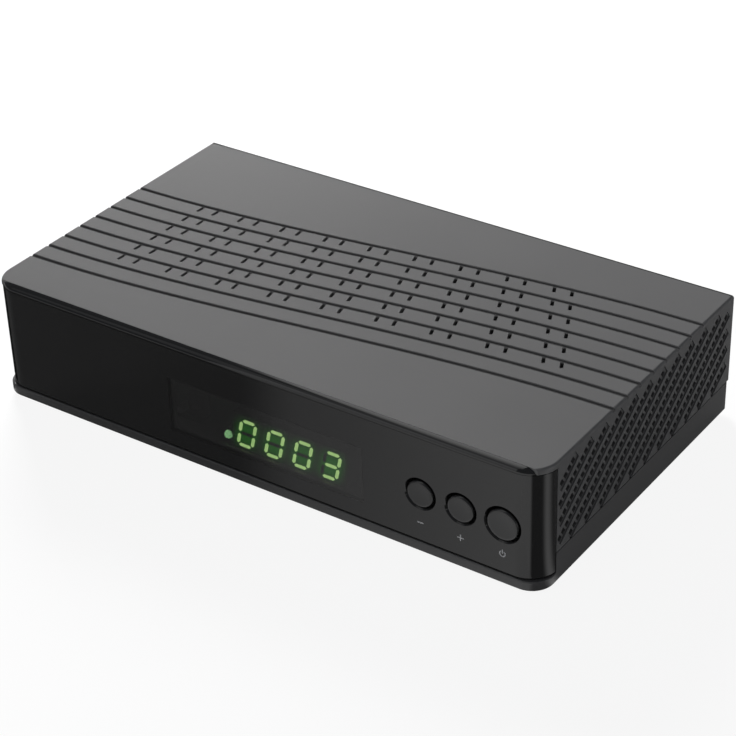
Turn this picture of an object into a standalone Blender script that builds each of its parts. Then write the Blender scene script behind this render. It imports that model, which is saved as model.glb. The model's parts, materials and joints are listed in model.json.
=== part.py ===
"""A small satellite television receiver: a plastic case with a glossy front, three push
buttons, a digit display, two circuit boards and a row of sockets at the rear.

Lengths are in metres and +Z is up. Seen from in front, +X is to the right and the front
faces -Y. The origin lies on the surface that the feet stand on, under the middle of the
box that holds the whole receiver with its rear connectors.
"""

import math

import bmesh
import bpy
from mathutils import Matrix, Vector

# The case as a whole
CASE_WIDTH = 0.198
CASE_DEPTH = 0.112
CASE_HEIGHT = 0.040
FOOT_STAND = 0.0015
WALL = 0.002
SEAT_GAP = 0.0003
CUT_OVERRUN = 0.002
FRONT_CORNER_RADIUS = 0.009
REAR_CORNER_RADIUS = 0.001
CORNER_STEPS = 7
REAR_CORNER_STEPS = 2

# Parting lines between the mouldings
BAND_HEIGHT = 0.0098
COVER_LIP = 0.0018
BOTTOM_LIP = 0.003
TONGUE_WALL = 0.0009
TONGUE_HEIGHT = 0.002
REAR_FLANGE = 0.003
REAR_LIP = 0.0025
TRAY_REAR_STEP = 0.001
SILL_HEIGHT = 0.003

# Top cover
ROOF_ROUND = 0.0009
ROUND_STEPS = 3
GROOVE_COUNT = 8
GROOVE_WIDTH = 0.0014
GROOVE_DEPTH = 0.001
GROOVE_PITCH = 0.00757
GROOVE_RISE = 0.0196
FIRST_GROOVE_FROM_BACK = 0.0399
GROOVE_STEPS = 14
VENT_ROWS = 6
VENT_COLUMNS = 9
VENT_WIDTH = 0.0011
VENT_LENGTH = 0.0034
VENT_PAIR_PITCH = 0.0058
VENT_REAR_PITCH = 0.0153
VENT_FRONT_PITCH = 0.0177
VENT_REAR_MIDDLE = -0.0077
VENT_FRONT_MIDDLE = 0.0004

# Lattice in the side walls
LATTICE_FRONT_MARGIN = 0.0012
LATTICE_BACK_MARGIN = 0.005
LATTICE_LOW_MARGIN = 0.0025
LATTICE_TOP_MARGIN = 0.0045
LATTICE_PITCH = 0.0048
LATTICE_SLOT_WIDTH = 0.0019
LATTICE_SLOT_LENGTH = 0.0152
LATTICE_BAR = 0.0016
LATTICE_SLOPE = math.radians(35)

# Front panel and its display window
PANEL_SETBACK = 0.0004
PANEL_WALL = 0.0025
PANEL_RETURN = 0.008
PANEL_EDGE_ROUND = 0.0004
PANEL_TAB_LENGTH = 0.004
PANEL_TAB_WALL = 0.0012
PANEL_TAB_HEIGHT = 0.012
PANEL_TAB_ROOT = 0.002
WINDOW_RIGHT_SHARE = 0.35
WINDOW_LOW_SHARE = 0.163
WINDOW_HIGH_SHARE = 0.704
WINDOW_THICKNESS = 0.0015
WINDOW_LEDGE = 0.0012
WINDOW_PAST_EYE = 0.001

# Push buttons; each row is a name, its distance from the case's right end, the radius of
# its cap and the radius of its dish
BUTTON_ROWS = (
    ("channel_down", 0.0394, 0.0043, 0.0052),
    ("channel_up", 0.0261, 0.0043, 0.0052),
    ("power", 0.0125, 0.0050, 0.0058),
)
BUTTON_HEIGHT_SHARE = 0.464
BUTTON_PROUD = 0.0003
BUTTON_CROWN = 0.0004
BUTTON_EDGE = 0.0007
BUTTON_BACK_REACH = 0.0003
BUTTON_TRAVEL = 0.0006
BUTTON_STEPS = 24
DISH_DEPTH = 0.0008
EAR_WIDTH = 0.006
EAR_OVERLAP = 0.0012
EAR_THICKNESS = 0.001
STEM_RADIUS = 0.0017

# Front board and what stands on it
SWITCH_SIDE = 0.006
SWITCH_HEIGHT = 0.0035
SWITCH_WELL_DEPTH = 0.0022
PLUNGER_RADIUS = 0.00175
PLUNGER_LENGTH = 0.0028
DISPLAY_WIDTH = 0.0402
DISPLAY_HEIGHT = 0.0128
DISPLAY_DEPTH = 0.007
DISPLAY_MIDDLE_X_SHARE = 0.0626
DISPLAY_GAP = 0.0005
DISPLAY_MIDDLE_SHARE = 0.357
LED_RADIUS = 0.0015
LED_LENGTH = 0.0078
LED_DROP = 0.0028
LED_FLANGE = 0.0004
LED_FROM_DISPLAY = 0.0032
EYE_WIDTH = 0.0056
EYE_HEIGHT = 0.007
EYE_DEPTH = 0.0032
EYE_DOME_RADIUS = 0.0022
EYE_FROM_LED = 0.014
FRONT_BOARD_PAST_WINDOW = 0.007
FRONT_BOARD_FROM_END = 0.0065
FRONT_BOARD_MARGIN = 0.0035
BOARD_THICKNESS = 0.0016
PANEL_POST_RADIUS = 0.003
PANEL_POST_ROOT = 0.0006
PANEL_POST_INSET = 0.0045

# Screws
SCREW_RADIUS = 0.0012
SCREW_HEAD_RADIUS = 0.0025
SCREW_HEAD_HEIGHT = 0.0016
SCREW_STEPS = 12
CASE_SCREW_LENGTH = 0.013
BOARD_SCREW_LENGTH = 0.0045
BOSS_RADIUS = 0.0034
BOSS_WALL_GAP = 0.0005
BOSS_STEPS = 16
TRAY_BOSS_TOP = 0.0125
FRONT_BOSS_SPACE = 0.001
REAR_BOSS_FROM_BACK = 0.011

# Main board
STANDOFF_HEIGHT = 0.004
STANDOFF_RADIUS = 0.003
BOARD_SIDE_SPACE = 0.0105
BOARD_FRONT_SPACE = 0.002
BOARD_REAR_SPACE = 0.0008
BOARD_SCREW_INSET = 0.0045
BOARD_SCREW_SPACE = 0.0015

# Rear panel and sockets
PLATE_THICKNESS = 0.0012
CONNECTOR_REACH = 0.0095
TUNER_WIDTH = 0.031
TUNER_DEPTH = 0.040
TUNER_HEIGHT = 0.0135
TUNER_LID = 0.0008
TUNER_LID_STEP = 0.0006
CONNECTOR_SPACING = 0.016
CONNECTOR_RADIUS = 0.0047
CONNECTOR_COLLAR_RADIUS = 0.0062
CONNECTOR_COLLAR = 0.001
CONNECTOR_BORE_RADIUS = 0.0034
CONNECTOR_BORE_DEPTH = 0.0012
CONNECTOR_CHAMFER = 0.0006
CONNECTOR_RISE = 0.0078
CONNECTOR_STEPS = 24
NUT_RADIUS = 0.0063
NUT_THICKNESS = 0.0022
NUT_SIDES = 6
AUDIO_WIDTH = 0.010
AUDIO_HEIGHT = 0.0125
AUDIO_DEPTH = 0.010
AUDIO_RISE = 0.0065
AUDIO_RING_RADIUS = 0.00415
AUDIO_RING_BORE = 0.0017
AUDIO_RING_REACH = 0.0085
AUDIO_SHOULDER_RADIUS = 0.0048
AUDIO_SHOULDER_REACH = 0.001
HDMI_WIDTH = 0.0140
HDMI_HEIGHT = 0.0046
HDMI_CORNER = 0.0016
HDMI_SHELL = 0.0005
HDMI_DEPTH = 0.0115
HDMI_POCKET = 0.0085
HDMI_TONGUE_WIDTH = 0.0108
HDMI_TONGUE_HEIGHT = 0.0011
HDMI_TONGUE_BACK = 0.0015
SCART_WIDTH = 0.0475
SCART_HEIGHT = 0.0158
SCART_DEPTH = 0.0165
SCART_RIM = 0.0014
SCART_SKIRT = 0.0013
SCART_POCKET = 0.0095
SCART_CORNER = 0.0035
SCART_CORE_BACK = 0.0006
SCART_SLOT_COUNT = 10
SCART_SLOT_PITCH = 0.0038
SCART_SLOT_WIDTH = 0.0016
SCART_SLOT_HEIGHT = 0.0007
SCART_SLOT_DEPTH = 0.004
SCART_ROW_SPACING = 0.0044
USB_WIDTH = 0.0131
USB_HEIGHT = 0.0057
USB_SHELL = 0.0005
USB_DEPTH = 0.014
USB_POCKET = 0.0105
USB_TONGUE_HEIGHT = 0.0018
USB_TONGUE_SIDE = 0.0008
USB_TONGUE_TOP = 0.0008
USB_TONGUE_BACK = 0.0012
POWER_WIDTH = 0.009
POWER_HEIGHT = 0.011
POWER_DEPTH = 0.0142
POWER_RISE = 0.0062
POWER_BORE_RADIUS = 0.0031
POWER_BORE_DEPTH = 0.0092
POWER_PIN_RADIUS = 0.001
POWER_PIN_BACK = 0.001
SOCKET_PROUD = 0.0008

# Parts standing on the main board; places are shares of the board's width and depth,
# counted from its middle
CHIP_SIDE = 0.017
CHIP_HEIGHT = 0.0015
CHIP_PLACE_SHARES = (0.02, 0.02)
HEATSINK_SIDE = 0.0195
HEATSINK_BASE = 0.002
HEATSINK_FIN_HEIGHT = 0.006
HEATSINK_FIN = 0.0013
HEATSINK_FIN_COUNT = 6
MEMORY_SIZE = (0.0105, 0.0135, 0.0011)
MEMORY_PLACE_SHARES = (0.15, -0.02)
FLASH_SIZE = (0.0052, 0.0052, 0.0018)
FLASH_PLACE_SHARES = (0.02, -0.22)
CRYSTAL_SIZE = (0.0105, 0.0042, 0.0034)
CRYSTAL_PLACE_SHARES = (-0.09, 0.05)
COIL_SIDE = 0.0072
COIL_HEIGHT = 0.0042
COIL_EDGE = 0.0012
COIL_PLACE_SHARES = ((-0.36, 0.08), (-0.25, 0.08))
CAPACITOR_CRIMP = 0.0004
CAPACITOR_CRIMP_RISE = 0.0015
CAPACITOR_STEPS = 16
# Each row is a radius, a height and the numbered cans of that size with their shares
CAPACITORS = (
    (0.0040, 0.0118, ((1, (-0.40, -0.12)), (2, (-0.33, -0.12)))),
    (0.0027, 0.0080, ((3, (0.27, -0.20)), (4, (0.34, -0.20)))),
)
HEADER_WIDTH = 0.0254
HEADER_HEIGHT = 0.0085
HEADER_DEPTH = 0.0055
HEADER_PLACE = 0.010

# Feet and floor vents
FOOT_RADIUS = 0.005
FOOT_SIDE_INSET = 0.020
FOOT_END_INSET = 0.014
FOOT_RECESS = 0.0008
FOOT_EDGE = 0.0004
FOOT_STEPS = 20
FLOOR_VENT_COUNT = 9
FLOOR_VENT_WIDTH = 0.002
FLOOR_VENT_LENGTH = 0.018
FLOOR_VENT_PITCH = 0.006
FLOOR_VENT_PLACE_SHARES = (-0.27, 0.27)

# Planes and heights that follow from the sizes
HALF_WIDTH = CASE_WIDTH / 2
FRONT_Y = -(CASE_DEPTH + CONNECTOR_REACH) / 2
BACK_Y = FRONT_Y + CASE_DEPTH
BASE_Z = FOOT_STAND
TOP_Z = BASE_Z + CASE_HEIGHT
PARTING_Z = BASE_Z + BAND_HEIGHT
ROOF_Z = TOP_Z - WALL
FLOOR_Z = BASE_Z + WALL
LIP_Z = TOP_Z - COVER_LIP
PANEL_LOW_Z = BASE_Z + BOTTOM_LIP + SEAT_GAP
PANEL_HIGH_Z = LIP_Z - SEAT_GAP
PANEL_HEIGHT = PANEL_HIGH_Z - PANEL_LOW_Z
PANEL_FACE_Y = FRONT_Y + PANEL_SETBACK
PANEL_BACK_Y = PANEL_FACE_Y + PANEL_WALL
RETURN_Y = FRONT_Y + PANEL_RETURN
WALL_START_Y = RETURN_Y + SEAT_GAP
TRAY_WALL = WALL + SEAT_GAP + TONGUE_WALL
OPENING_HALF = HALF_WIDTH - WALL - REAR_FLANGE
PLATE_OUT_Y = BACK_Y - WALL - SEAT_GAP
PLATE_IN_Y = PLATE_OUT_Y - PLATE_THICKNESS
PLATE_HALF = HALF_WIDTH - TRAY_WALL - SEAT_GAP
SOCKET_FACE_Y = PLATE_OUT_Y + SOCKET_PROUD
DISPLAY_MIDDLE_X = CASE_WIDTH * DISPLAY_MIDDLE_X_SHARE
LED_X = DISPLAY_MIDDLE_X - DISPLAY_WIDTH / 2 - LED_FROM_DISPLAY
EYE_X = LED_X - EYE_FROM_LED
WINDOW_LEFT = EYE_X - EYE_WIDTH / 2 - WINDOW_PAST_EYE - WINDOW_LEDGE
FRONT_BOARD_LEFT = WINDOW_LEFT - FRONT_BOARD_PAST_WINDOW
FRONT_BOARD_RIGHT = HALF_WIDTH - FRONT_BOARD_FROM_END
BUTTONS = [(name, HALF_WIDTH - inset, cap, dish) for name, inset, cap, dish in BUTTON_ROWS]
DISPLAY_RIGHT = DISPLAY_MIDDLE_X + DISPLAY_WIDTH / 2
FIRST_DISH_LEFT = BUTTONS[0][1] - BUTTONS[0][3]
WINDOW_RIGHT = DISPLAY_RIGHT + WINDOW_RIGHT_SHARE * (FIRST_DISH_LEFT - DISPLAY_RIGHT)
BUTTON_Z = PANEL_LOW_Z + BUTTON_HEIGHT_SHARE * PANEL_HEIGHT
DISPLAY_Z = PANEL_LOW_Z + DISPLAY_MIDDLE_SHARE * PANEL_HEIGHT
DISPLAY_FACE_Y = PANEL_BACK_Y + DISPLAY_GAP
FRONT_BOARD_Y = DISPLAY_FACE_Y + DISPLAY_DEPTH + SEAT_GAP
FRONT_BOARD_BACK_Y = FRONT_BOARD_Y + BOARD_THICKNESS
FRONT_BOARD_LOW_Z = PANEL_LOW_Z + FRONT_BOARD_MARGIN
FRONT_BOARD_HIGH_Z = PANEL_HIGH_Z - FRONT_BOARD_MARGIN
SWITCH_FACE_Y = FRONT_BOARD_Y - SEAT_GAP - SWITCH_HEIGHT
PLUNGER_BACK_Y = SWITCH_FACE_Y + SWITCH_WELL_DEPTH - BUTTON_TRAVEL - SEAT_GAP
PLUNGER_FRONT_Y = PLUNGER_BACK_Y - PLUNGER_LENGTH
STEM_END_Y = PLUNGER_FRONT_Y - SEAT_GAP
BOARD_LOW_Z = FLOOR_Z + STANDOFF_HEIGHT + SEAT_GAP
BOARD_TOP_Z = BOARD_LOW_Z + BOARD_THICKNESS
BOARD_HALF = HALF_WIDTH - TRAY_WALL - BOARD_SIDE_SPACE
BOARD_FRONT_Y = FRONT_BOARD_BACK_Y + BOARD_FRONT_SPACE
BOARD_BACK_Y = PLATE_IN_Y - BOARD_REAR_SPACE
BOARD_MIDDLE_Y = (BOARD_FRONT_Y + BOARD_BACK_Y) / 2
BOARD_DEPTH = BOARD_BACK_Y - BOARD_FRONT_Y
SEAT_Z = BOARD_TOP_Z + SEAT_GAP
BOSS_X = HALF_WIDTH - TRAY_WALL - BOSS_WALL_GAP - BOSS_RADIUS
FRONT_BOSS_Y = FRONT_BOARD_BACK_Y + FRONT_BOSS_SPACE + BOSS_RADIUS
REAR_BOSS_Y = BACK_Y - REAR_BOSS_FROM_BACK
TRAY_BOSS_Z = BASE_Z + TRAY_BOSS_TOP
SCREW_HOLE_RADIUS = SCREW_RADIUS + SEAT_GAP
HEAD_HOLE_RADIUS = SCREW_HEAD_RADIUS + SEAT_GAP

# Colour, roughness and metallic of every material
FINISHES = {
    "cover_plastic": ((0.12, 0.12, 0.117), 0.42, 0.0),
    "tray_plastic": ((0.045, 0.045, 0.042), 0.5, 0.0),
    "gloss_black": ((0.012, 0.012, 0.013), 0.08, 0.0),
    "smoked_lens": ((0.02, 0.02, 0.022), 0.05, 0.0),
    "button_black": ((0.02, 0.02, 0.021), 0.18, 0.0),
    "display_grey": ((0.03, 0.03, 0.032), 0.45, 0.0),
    "led_green": ((0.25, 0.8, 0.4), 0.2, 0.0),
    "board_green": ((0.02, 0.11, 0.045), 0.45, 0.0),
    "switch_black": ((0.025, 0.025, 0.025), 0.5, 0.0),
    "plunger_brown": ((0.16, 0.08, 0.04), 0.45, 0.0),
    "eye_black": ((0.03, 0.015, 0.02), 0.15, 0.0),
    "tinned_steel": ((0.62, 0.62, 0.6), 0.3, 1.0),
    "nickel": ((0.7, 0.68, 0.63), 0.25, 1.0),
    "socket_black": ((0.018, 0.018, 0.018), 0.5, 0.0),
    "chip_black": ((0.02, 0.02, 0.022), 0.55, 0.0),
    "heatsink_metal": ((0.35, 0.35, 0.36), 0.4, 1.0),
    "sleeve_black": ((0.02, 0.022, 0.03), 0.35, 0.0),
    "ferrite": ((0.05, 0.05, 0.05), 0.7, 0.0),
    "plate_black": ((0.025, 0.025, 0.026), 0.5, 0.0),
    "screw_zinc": ((0.55, 0.55, 0.53), 0.35, 1.0),
    "foot_rubber": ((0.02, 0.02, 0.02), 0.85, 0.0),
}


def clear_scene():
    for old in list(bpy.data.objects):
        bpy.data.objects.remove(old)


def new_collection(name):
    collection = bpy.data.collections.new(name)
    bpy.context.scene.collection.children.link(collection)
    return collection


def finish(name):
    """The material of this name, made the first time it is asked for."""
    found = bpy.data.materials.get(name)
    if found:
        return found
    colour, roughness, metallic = FINISHES[name]
    made = bpy.data.materials.new(name)
    made.use_nodes = True
    shader = made.node_tree.nodes["Principled BSDF"]
    shader.inputs["Base Color"].default_value = (*colour, 1.0)
    shader.inputs["Roughness"].default_value = roughness
    shader.inputs["Metallic"].default_value = metallic
    made.diffuse_color = (*colour, 1.0)
    return made


def object_from(shape, name):
    """An object in the cutters' collection, holding the bmesh."""
    mesh = bpy.data.meshes.new(name)
    shape.to_mesh(mesh)
    shape.free()
    made = bpy.data.objects.new(name, mesh)
    CUTTERS.objects.link(made)
    made.hide_render = True
    made.display_type = "WIRE"
    return made


def as_part(piece, name, material_name):
    """Turns a shape into a sub-part of the receiver, with its name and material."""
    CUTTERS.objects.unlink(piece)
    RECEIVER.objects.link(piece)
    piece.name = name
    piece.hide_render = False
    piece.display_type = "TEXTURED"
    piece.data.materials.clear()
    piece.data.materials.append(finish(material_name))
    return piece


def spread(piece, places, name, material_name):
    """One numbered sub-part at each place. They share one mesh."""
    as_part(piece, name + "_1", material_name)
    piece.location = places[0]
    for number, place in enumerate(places[1:], 2):
        twin = piece.copy()
        RECEIVER.objects.link(twin)
        twin.name = f"{name}_{number}"
        twin.location = place


def smooth(piece, angle=math.radians(35)):
    piece.data.shade_smooth()
    piece.data.set_sharp_from_angle(angle=angle)
    return piece


def box(low, high, name="box"):
    """A box between two corners."""
    low = Vector(low)
    high = Vector(high)
    shape = bmesh.new()
    place = Matrix.Translation((low + high) / 2)
    bmesh.ops.create_cube(shape, size=1, matrix=place @ Matrix.Diagonal((*(high - low), 1)))
    return object_from(shape, name)


def boxes(corner_pairs, name="boxes"):
    """Several boxes in one object, each between its two corners."""
    shape = bmesh.new()
    for low, high in corner_pairs:
        low = Vector(low)
        high = Vector(high)
        place = Matrix.Translation((low + high) / 2)
        bmesh.ops.create_cube(shape, size=1, matrix=place @ Matrix.Diagonal((*(high - low), 1)))
    return object_from(shape, name)


def pillars(centres, radius, low_z, high_z, steps, name="pillars"):
    """Upright cylinders in one object, one at each (x, y)."""
    shape = bmesh.new()
    for x, y in centres:
        bmesh.ops.create_cone(
            shape,
            cap_ends=True,
            segments=steps,
            radius1=radius,
            radius2=radius,
            depth=high_z - low_z,
            matrix=Matrix.Translation((x, y, (low_z + high_z) / 2)),
        )
    return object_from(shape, name)


def level_pillars(centres, radius, low_y, high_y, steps, wide_radius=None, name="level_pillars"):
    """Cylinders along Y in one object, one at each (x, z). With wide_radius they are
    cones whose front end, at low_y, has that radius."""
    shape = bmesh.new()
    turn = Matrix.Rotation(math.radians(90), 4, "X")
    front_radius = radius if wide_radius is None else wide_radius
    for x, z in centres:
        place = Matrix.Translation((x, (low_y + high_y) / 2, z)) @ turn
        bmesh.ops.create_cone(
            shape,
            cap_ends=True,
            segments=steps,
            radius1=radius,
            radius2=front_radius,
            depth=high_y - low_y,
            matrix=place,
        )
    return object_from(shape, name)


def from_curve(curve, name):
    """The closed mesh of a curve object, which is removed."""
    bpy.context.view_layer.update()
    graph = bpy.context.evaluated_depsgraph_get()
    mesh = bpy.data.meshes.new_from_object(curve.evaluated_get(graph))
    place = curve.matrix_world.copy()
    bpy.data.objects.remove(curve)
    shape = bmesh.new()
    shape.from_mesh(mesh)
    bpy.data.meshes.remove(mesh)
    bmesh.ops.remove_doubles(shape, verts=shape.verts, dist=SEAT_GAP / 100)
    made = object_from(shape, name)
    made.matrix_world = place
    return made


def extruded(points, half_thickness, location, rotation=(0, 0, 0), name="outline"):
    """A flat closed outline with a thickness, made as a filled 2D curve."""
    data = bpy.data.curves.new(name, "CURVE")
    data.dimensions = "2D"
    data.fill_mode = "BOTH"
    data.extrude = half_thickness
    spline = data.splines.new("POLY")
    spline.points.add(len(points) - 1)
    for point, (x, y) in zip(spline.points, points):
        point.co = (x, y, 0, 1)
    spline.use_cyclic_u = True
    curve = bpy.data.objects.new(name, data)
    CUTTERS.objects.link(curve)
    curve.location = location
    curve.rotation_euler = rotation
    return with_flat_caps(from_curve(curve, name))


def with_flat_caps(piece):
    """Turns the triangles of a filled outline's two ends into one face each."""
    shape = bmesh.new()
    shape.from_mesh(piece.data)
    flat = math.radians(1)
    bmesh.ops.dissolve_limit(shape, angle_limit=flat, verts=shape.verts, edges=shape.edges)
    shape.to_mesh(piece.data)
    shape.free()
    return piece


def extruded_back(points, front_y, back_y, name="outline"):
    """An outline drawn in X and Z, solid from front_y to back_y."""
    middle = (front_y + back_y) / 2
    upright = (math.radians(90), 0, 0)
    return extruded(points, (back_y - front_y) / 2, (0, middle, 0), upright, name)


def arc(centre, radius, start, steps):
    """Points on a quarter circle, counter-clockwise from the start angle."""
    if radius <= 0:
        return [centre]
    quarter = math.radians(90)
    angles = [start + quarter * step / steps for step in range(steps + 1)]
    return [(centre[0] + radius * math.cos(a), centre[1] + radius * math.sin(a)) for a in angles]


def case_outline(inset):
    """The case's outline from above, moved inwards by inset all round."""
    front = max(FRONT_CORNER_RADIUS - inset, 0)
    back = max(REAR_CORNER_RADIUS - inset, 0)
    x = HALF_WIDTH - inset
    low = FRONT_Y + inset
    high = BACK_Y - inset
    points = []
    points += arc((-x + front, low + front), front, math.radians(180), CORNER_STEPS)
    points += arc((x - front, low + front), front, math.radians(270), CORNER_STEPS)
    points += arc((x - back, high - back), back, 0, REAR_CORNER_STEPS)
    points += arc((-x + back, high - back), back, math.radians(90), REAR_CORNER_STEPS)
    return points


def slab(inset, low_z, high_z, name="slab"):
    """The case's outline, inset, solid between two heights."""
    middle = (low_z + high_z) / 2
    return extruded(case_outline(inset), (high_z - low_z) / 2, (0, 0, middle), name=name)


def boolean(piece, other, operation):
    change = piece.modifiers.new(operation.lower(), "BOOLEAN")
    change.operation = operation
    change.solver = "EXACT"
    change.object = other


def cut(piece, *cutters):
    for cutter in cutters:
        boolean(piece, cutter, "DIFFERENCE")
    return piece


def join(piece, *others):
    for other in others:
        boolean(piece, other, "UNION")
    return piece


def turned(profile, location, direction, steps, name="turned"):
    """A round solid from (radius, height) points, listed from the top of its outer side
    down, with its height along direction."""
    shape = bmesh.new()
    corners = [shape.verts.new((radius, 0, height)) for radius, height in profile]
    for first, second in zip(corners, corners[1:]):
        shape.edges.new((first, second))
    made = object_from(shape, name)
    made.location = location
    made.rotation_euler = Vector(direction).to_track_quat("Z", "Y").to_euler()
    spin = made.modifiers.new("spin", "SCREW")
    spin.steps = steps
    spin.render_steps = steps
    spin.use_merge_vertices = True
    spin.merge_threshold = SEAT_GAP / 100
    return made


def bevel(piece, width, steps=1, angle=math.radians(40)):
    change = piece.modifiers.new("edges", "BEVEL")
    change.width = width
    change.segments = steps
    change.limit_method = "ANGLE"
    change.angle_limit = angle
    return piece


def mirrored_x(places):
    """The places and their mirror images across the middle of the case."""
    return [(side * x, y) for x, y in places for side in (-1, 1)]


def socket_places():
    """The middle of each socket at the rear, with equal spaces from end to end of the
    main board."""
    row = (
        ("power", POWER_WIDTH),
        ("usb", USB_WIDTH + 2 * USB_SHELL),
        ("scart", SCART_WIDTH),
        ("hdmi", HDMI_WIDTH + 2 * HDMI_SHELL),
        ("audio", AUDIO_WIDTH),
        ("tuner", TUNER_WIDTH),
    )
    taken = sum(width for _, width in row)
    space = (2 * BOARD_HALF - taken) / (len(row) + 1)
    places = {}
    left = -BOARD_HALF
    for name, width in row:
        left += space
        places[name] = left + width / 2
        left += width
    return places


SOCKET_X = socket_places()
BOSS_PLACES = mirrored_x([(BOSS_X, FRONT_BOSS_Y), (BOSS_X, REAR_BOSS_Y)])


def board_point(shares):
    """A place on the main board from shares of its width and depth."""
    across, along = shares
    return 2 * BOARD_HALF * across, BOARD_MIDDLE_Y + BOARD_DEPTH * along


def round_cover_edge(cover):
    """Rounds the roof's rim, and no other edge."""
    shape = bmesh.new()
    shape.from_mesh(cover.data)
    weight = shape.edges.layers.float.new("bevel_weight_edge")
    rim = max(vert.co.z for vert in shape.verts) - SEAT_GAP
    for edge in shape.edges:
        if all(vert.co.z > rim for vert in edge.verts):
            edge[weight] = 1
    shape.to_mesh(cover.data)
    shape.free()
    change = cover.modifiers.new("rim", "BEVEL")
    change.limit_method = "WEIGHT"
    change.width = ROOF_ROUND
    change.segments = ROUND_STEPS


def groove_left_y(index):
    return BACK_Y - FIRST_GROOVE_FROM_BACK - index * GROOVE_PITCH


def groove_y(index, x):
    """Where a groove lies at x: an S that leaves both sides square to them."""
    along = (x + HALF_WIDTH) / CASE_WIDTH
    return groove_left_y(index) + GROOVE_RISE * (3 * along**2 - 2 * along**3)


def groove_cutter():
    """Walls that follow the S grooves, as wide as the grooves."""
    data = bpy.data.curves.new("grooves", "CURVE")
    data.dimensions = "2D"
    data.fill_mode = "NONE"
    data.extrude = GROOVE_DEPTH
    data.resolution_u = GROOVE_STEPS
    reach = HALF_WIDTH + CUT_OVERRUN
    third = 2 * reach / 3
    for index in range(GROOVE_COUNT):
        spline = data.splines.new("BEZIER")
        spline.bezier_points.add(1)
        low_y = groove_left_y(index)
        ends = ((-reach, low_y), (reach, low_y + GROOVE_RISE))
        for point, (x, y) in zip(spline.bezier_points, ends):
            point.co = (x, y, 0)
            point.handle_left = (x - third, y, 0)
            point.handle_right = (x + third, y, 0)
    curve = bpy.data.objects.new("grooves", data)
    CUTTERS.objects.link(curve)
    curve.location.z = TOP_Z
    walls = from_curve(curve, "groove_walls")
    thick = walls.modifiers.new("thickness", "SOLIDIFY")
    thick.thickness = GROOVE_WIDTH
    thick.offset = 0
    return walls


def vent_x(row, column):
    """Middle of a pair of vent slots; the columns fan out towards the front."""
    front_share = row / (VENT_ROWS - 1)
    middle = VENT_REAR_MIDDLE + (VENT_FRONT_MIDDLE - VENT_REAR_MIDDLE) * front_share
    pitch = VENT_REAR_PITCH + (VENT_FRONT_PITCH - VENT_REAR_PITCH) * front_share
    return middle + pitch * (column - (VENT_COLUMNS - 1) / 2)


def vent_cutter():
    """Every roof slot: each starts in a groove and points forward along its column."""
    shape = bmesh.new()
    length = GROOVE_WIDTH / 2 + VENT_LENGTH
    height = 2 * (WALL + CUT_OVERRUN)
    for row in range(VENT_ROWS):
        for column in range(VENT_COLUMNS):
            lean = math.atan2(
                vent_x(VENT_ROWS - 1, column) - vent_x(0, column),
                (VENT_ROWS - 1) * GROOVE_PITCH,
            )
            for side in (-1, 1):
                x = vent_x(row, column) + side * VENT_PAIR_PITCH / 2
                place = Matrix.Translation((x, groove_y(row, x), TOP_Z))
                turn = Matrix.Rotation(lean, 4, "Z")
                slide = Matrix.Translation((0, -length / 2, 0))
                size = Matrix.Diagonal((VENT_WIDTH, length, height, 1))
                bmesh.ops.create_cube(shape, size=1, matrix=place @ turn @ slide @ size)
    return object_from(shape, "roof_vents")


def lattice_cutter():
    """Slanted slots through both side walls, held inside the lattice's field."""
    front = WALL_START_Y + LATTICE_FRONT_MARGIN
    back = BACK_Y - LATTICE_BACK_MARGIN
    low = PARTING_Z + LATTICE_LOW_MARGIN
    high = TOP_Z - LATTICE_TOP_MARGIN
    wall_in = HALF_WIDTH - WALL - SEAT_GAP
    wall_out = HALF_WIDTH + CUT_OVERRUN
    middle = Vector((0, (front + back) / 2, (low + high) / 2))
    along = Vector((0, math.cos(LATTICE_SLOPE), math.sin(LATTICE_SLOPE)))
    across = Vector((0, -math.sin(LATTICE_SLOPE), math.cos(LATTICE_SLOPE)))
    turn = Matrix.Rotation(LATTICE_SLOPE, 4, "X")
    step = LATTICE_SLOT_LENGTH + LATTICE_BAR
    span = math.hypot(back - front, high - low) / 2
    rows = math.ceil(span / LATTICE_PITCH)
    steps = math.ceil(span / step)
    half_length = LATTICE_SLOT_LENGTH / 2
    shape = bmesh.new()
    for row in range(-rows, rows + 1):
        for place in range(-steps, steps + 1):
            centre = middle + across * row * LATTICE_PITCH + along * place * step
            start, end = clipped(
                centre - along * half_length,
                centre + along * half_length,
                Vector((0, front, low)),
                Vector((0, back, high)),
            )
            if (end - start).dot(along) < LATTICE_SLOT_WIDTH:
                continue
            length = (end - start).length
            size = Matrix.Diagonal((wall_out - wall_in, length, LATTICE_SLOT_WIDTH, 1))
            for side in (-1, 1):
                wall_middle = Vector((side * (wall_in + wall_out) / 2, 0, 0))
                spot = Matrix.Translation(wall_middle + (start + end) / 2)
                bmesh.ops.create_cube(shape, size=1, matrix=spot @ turn @ size)
    return object_from(shape, "lattice")


def clipped(start, end, low, high):
    """The part of a slot's middle line inside the field between two corners."""
    run = end - start
    first = max((low.y - start.y) / run.y, (low.z - start.z) / run.z, 0)
    last = min((high.y - start.y) / run.y, (high.z - start.z) / run.z, 1)
    return start.lerp(end, first), start.lerp(end, last)


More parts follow.
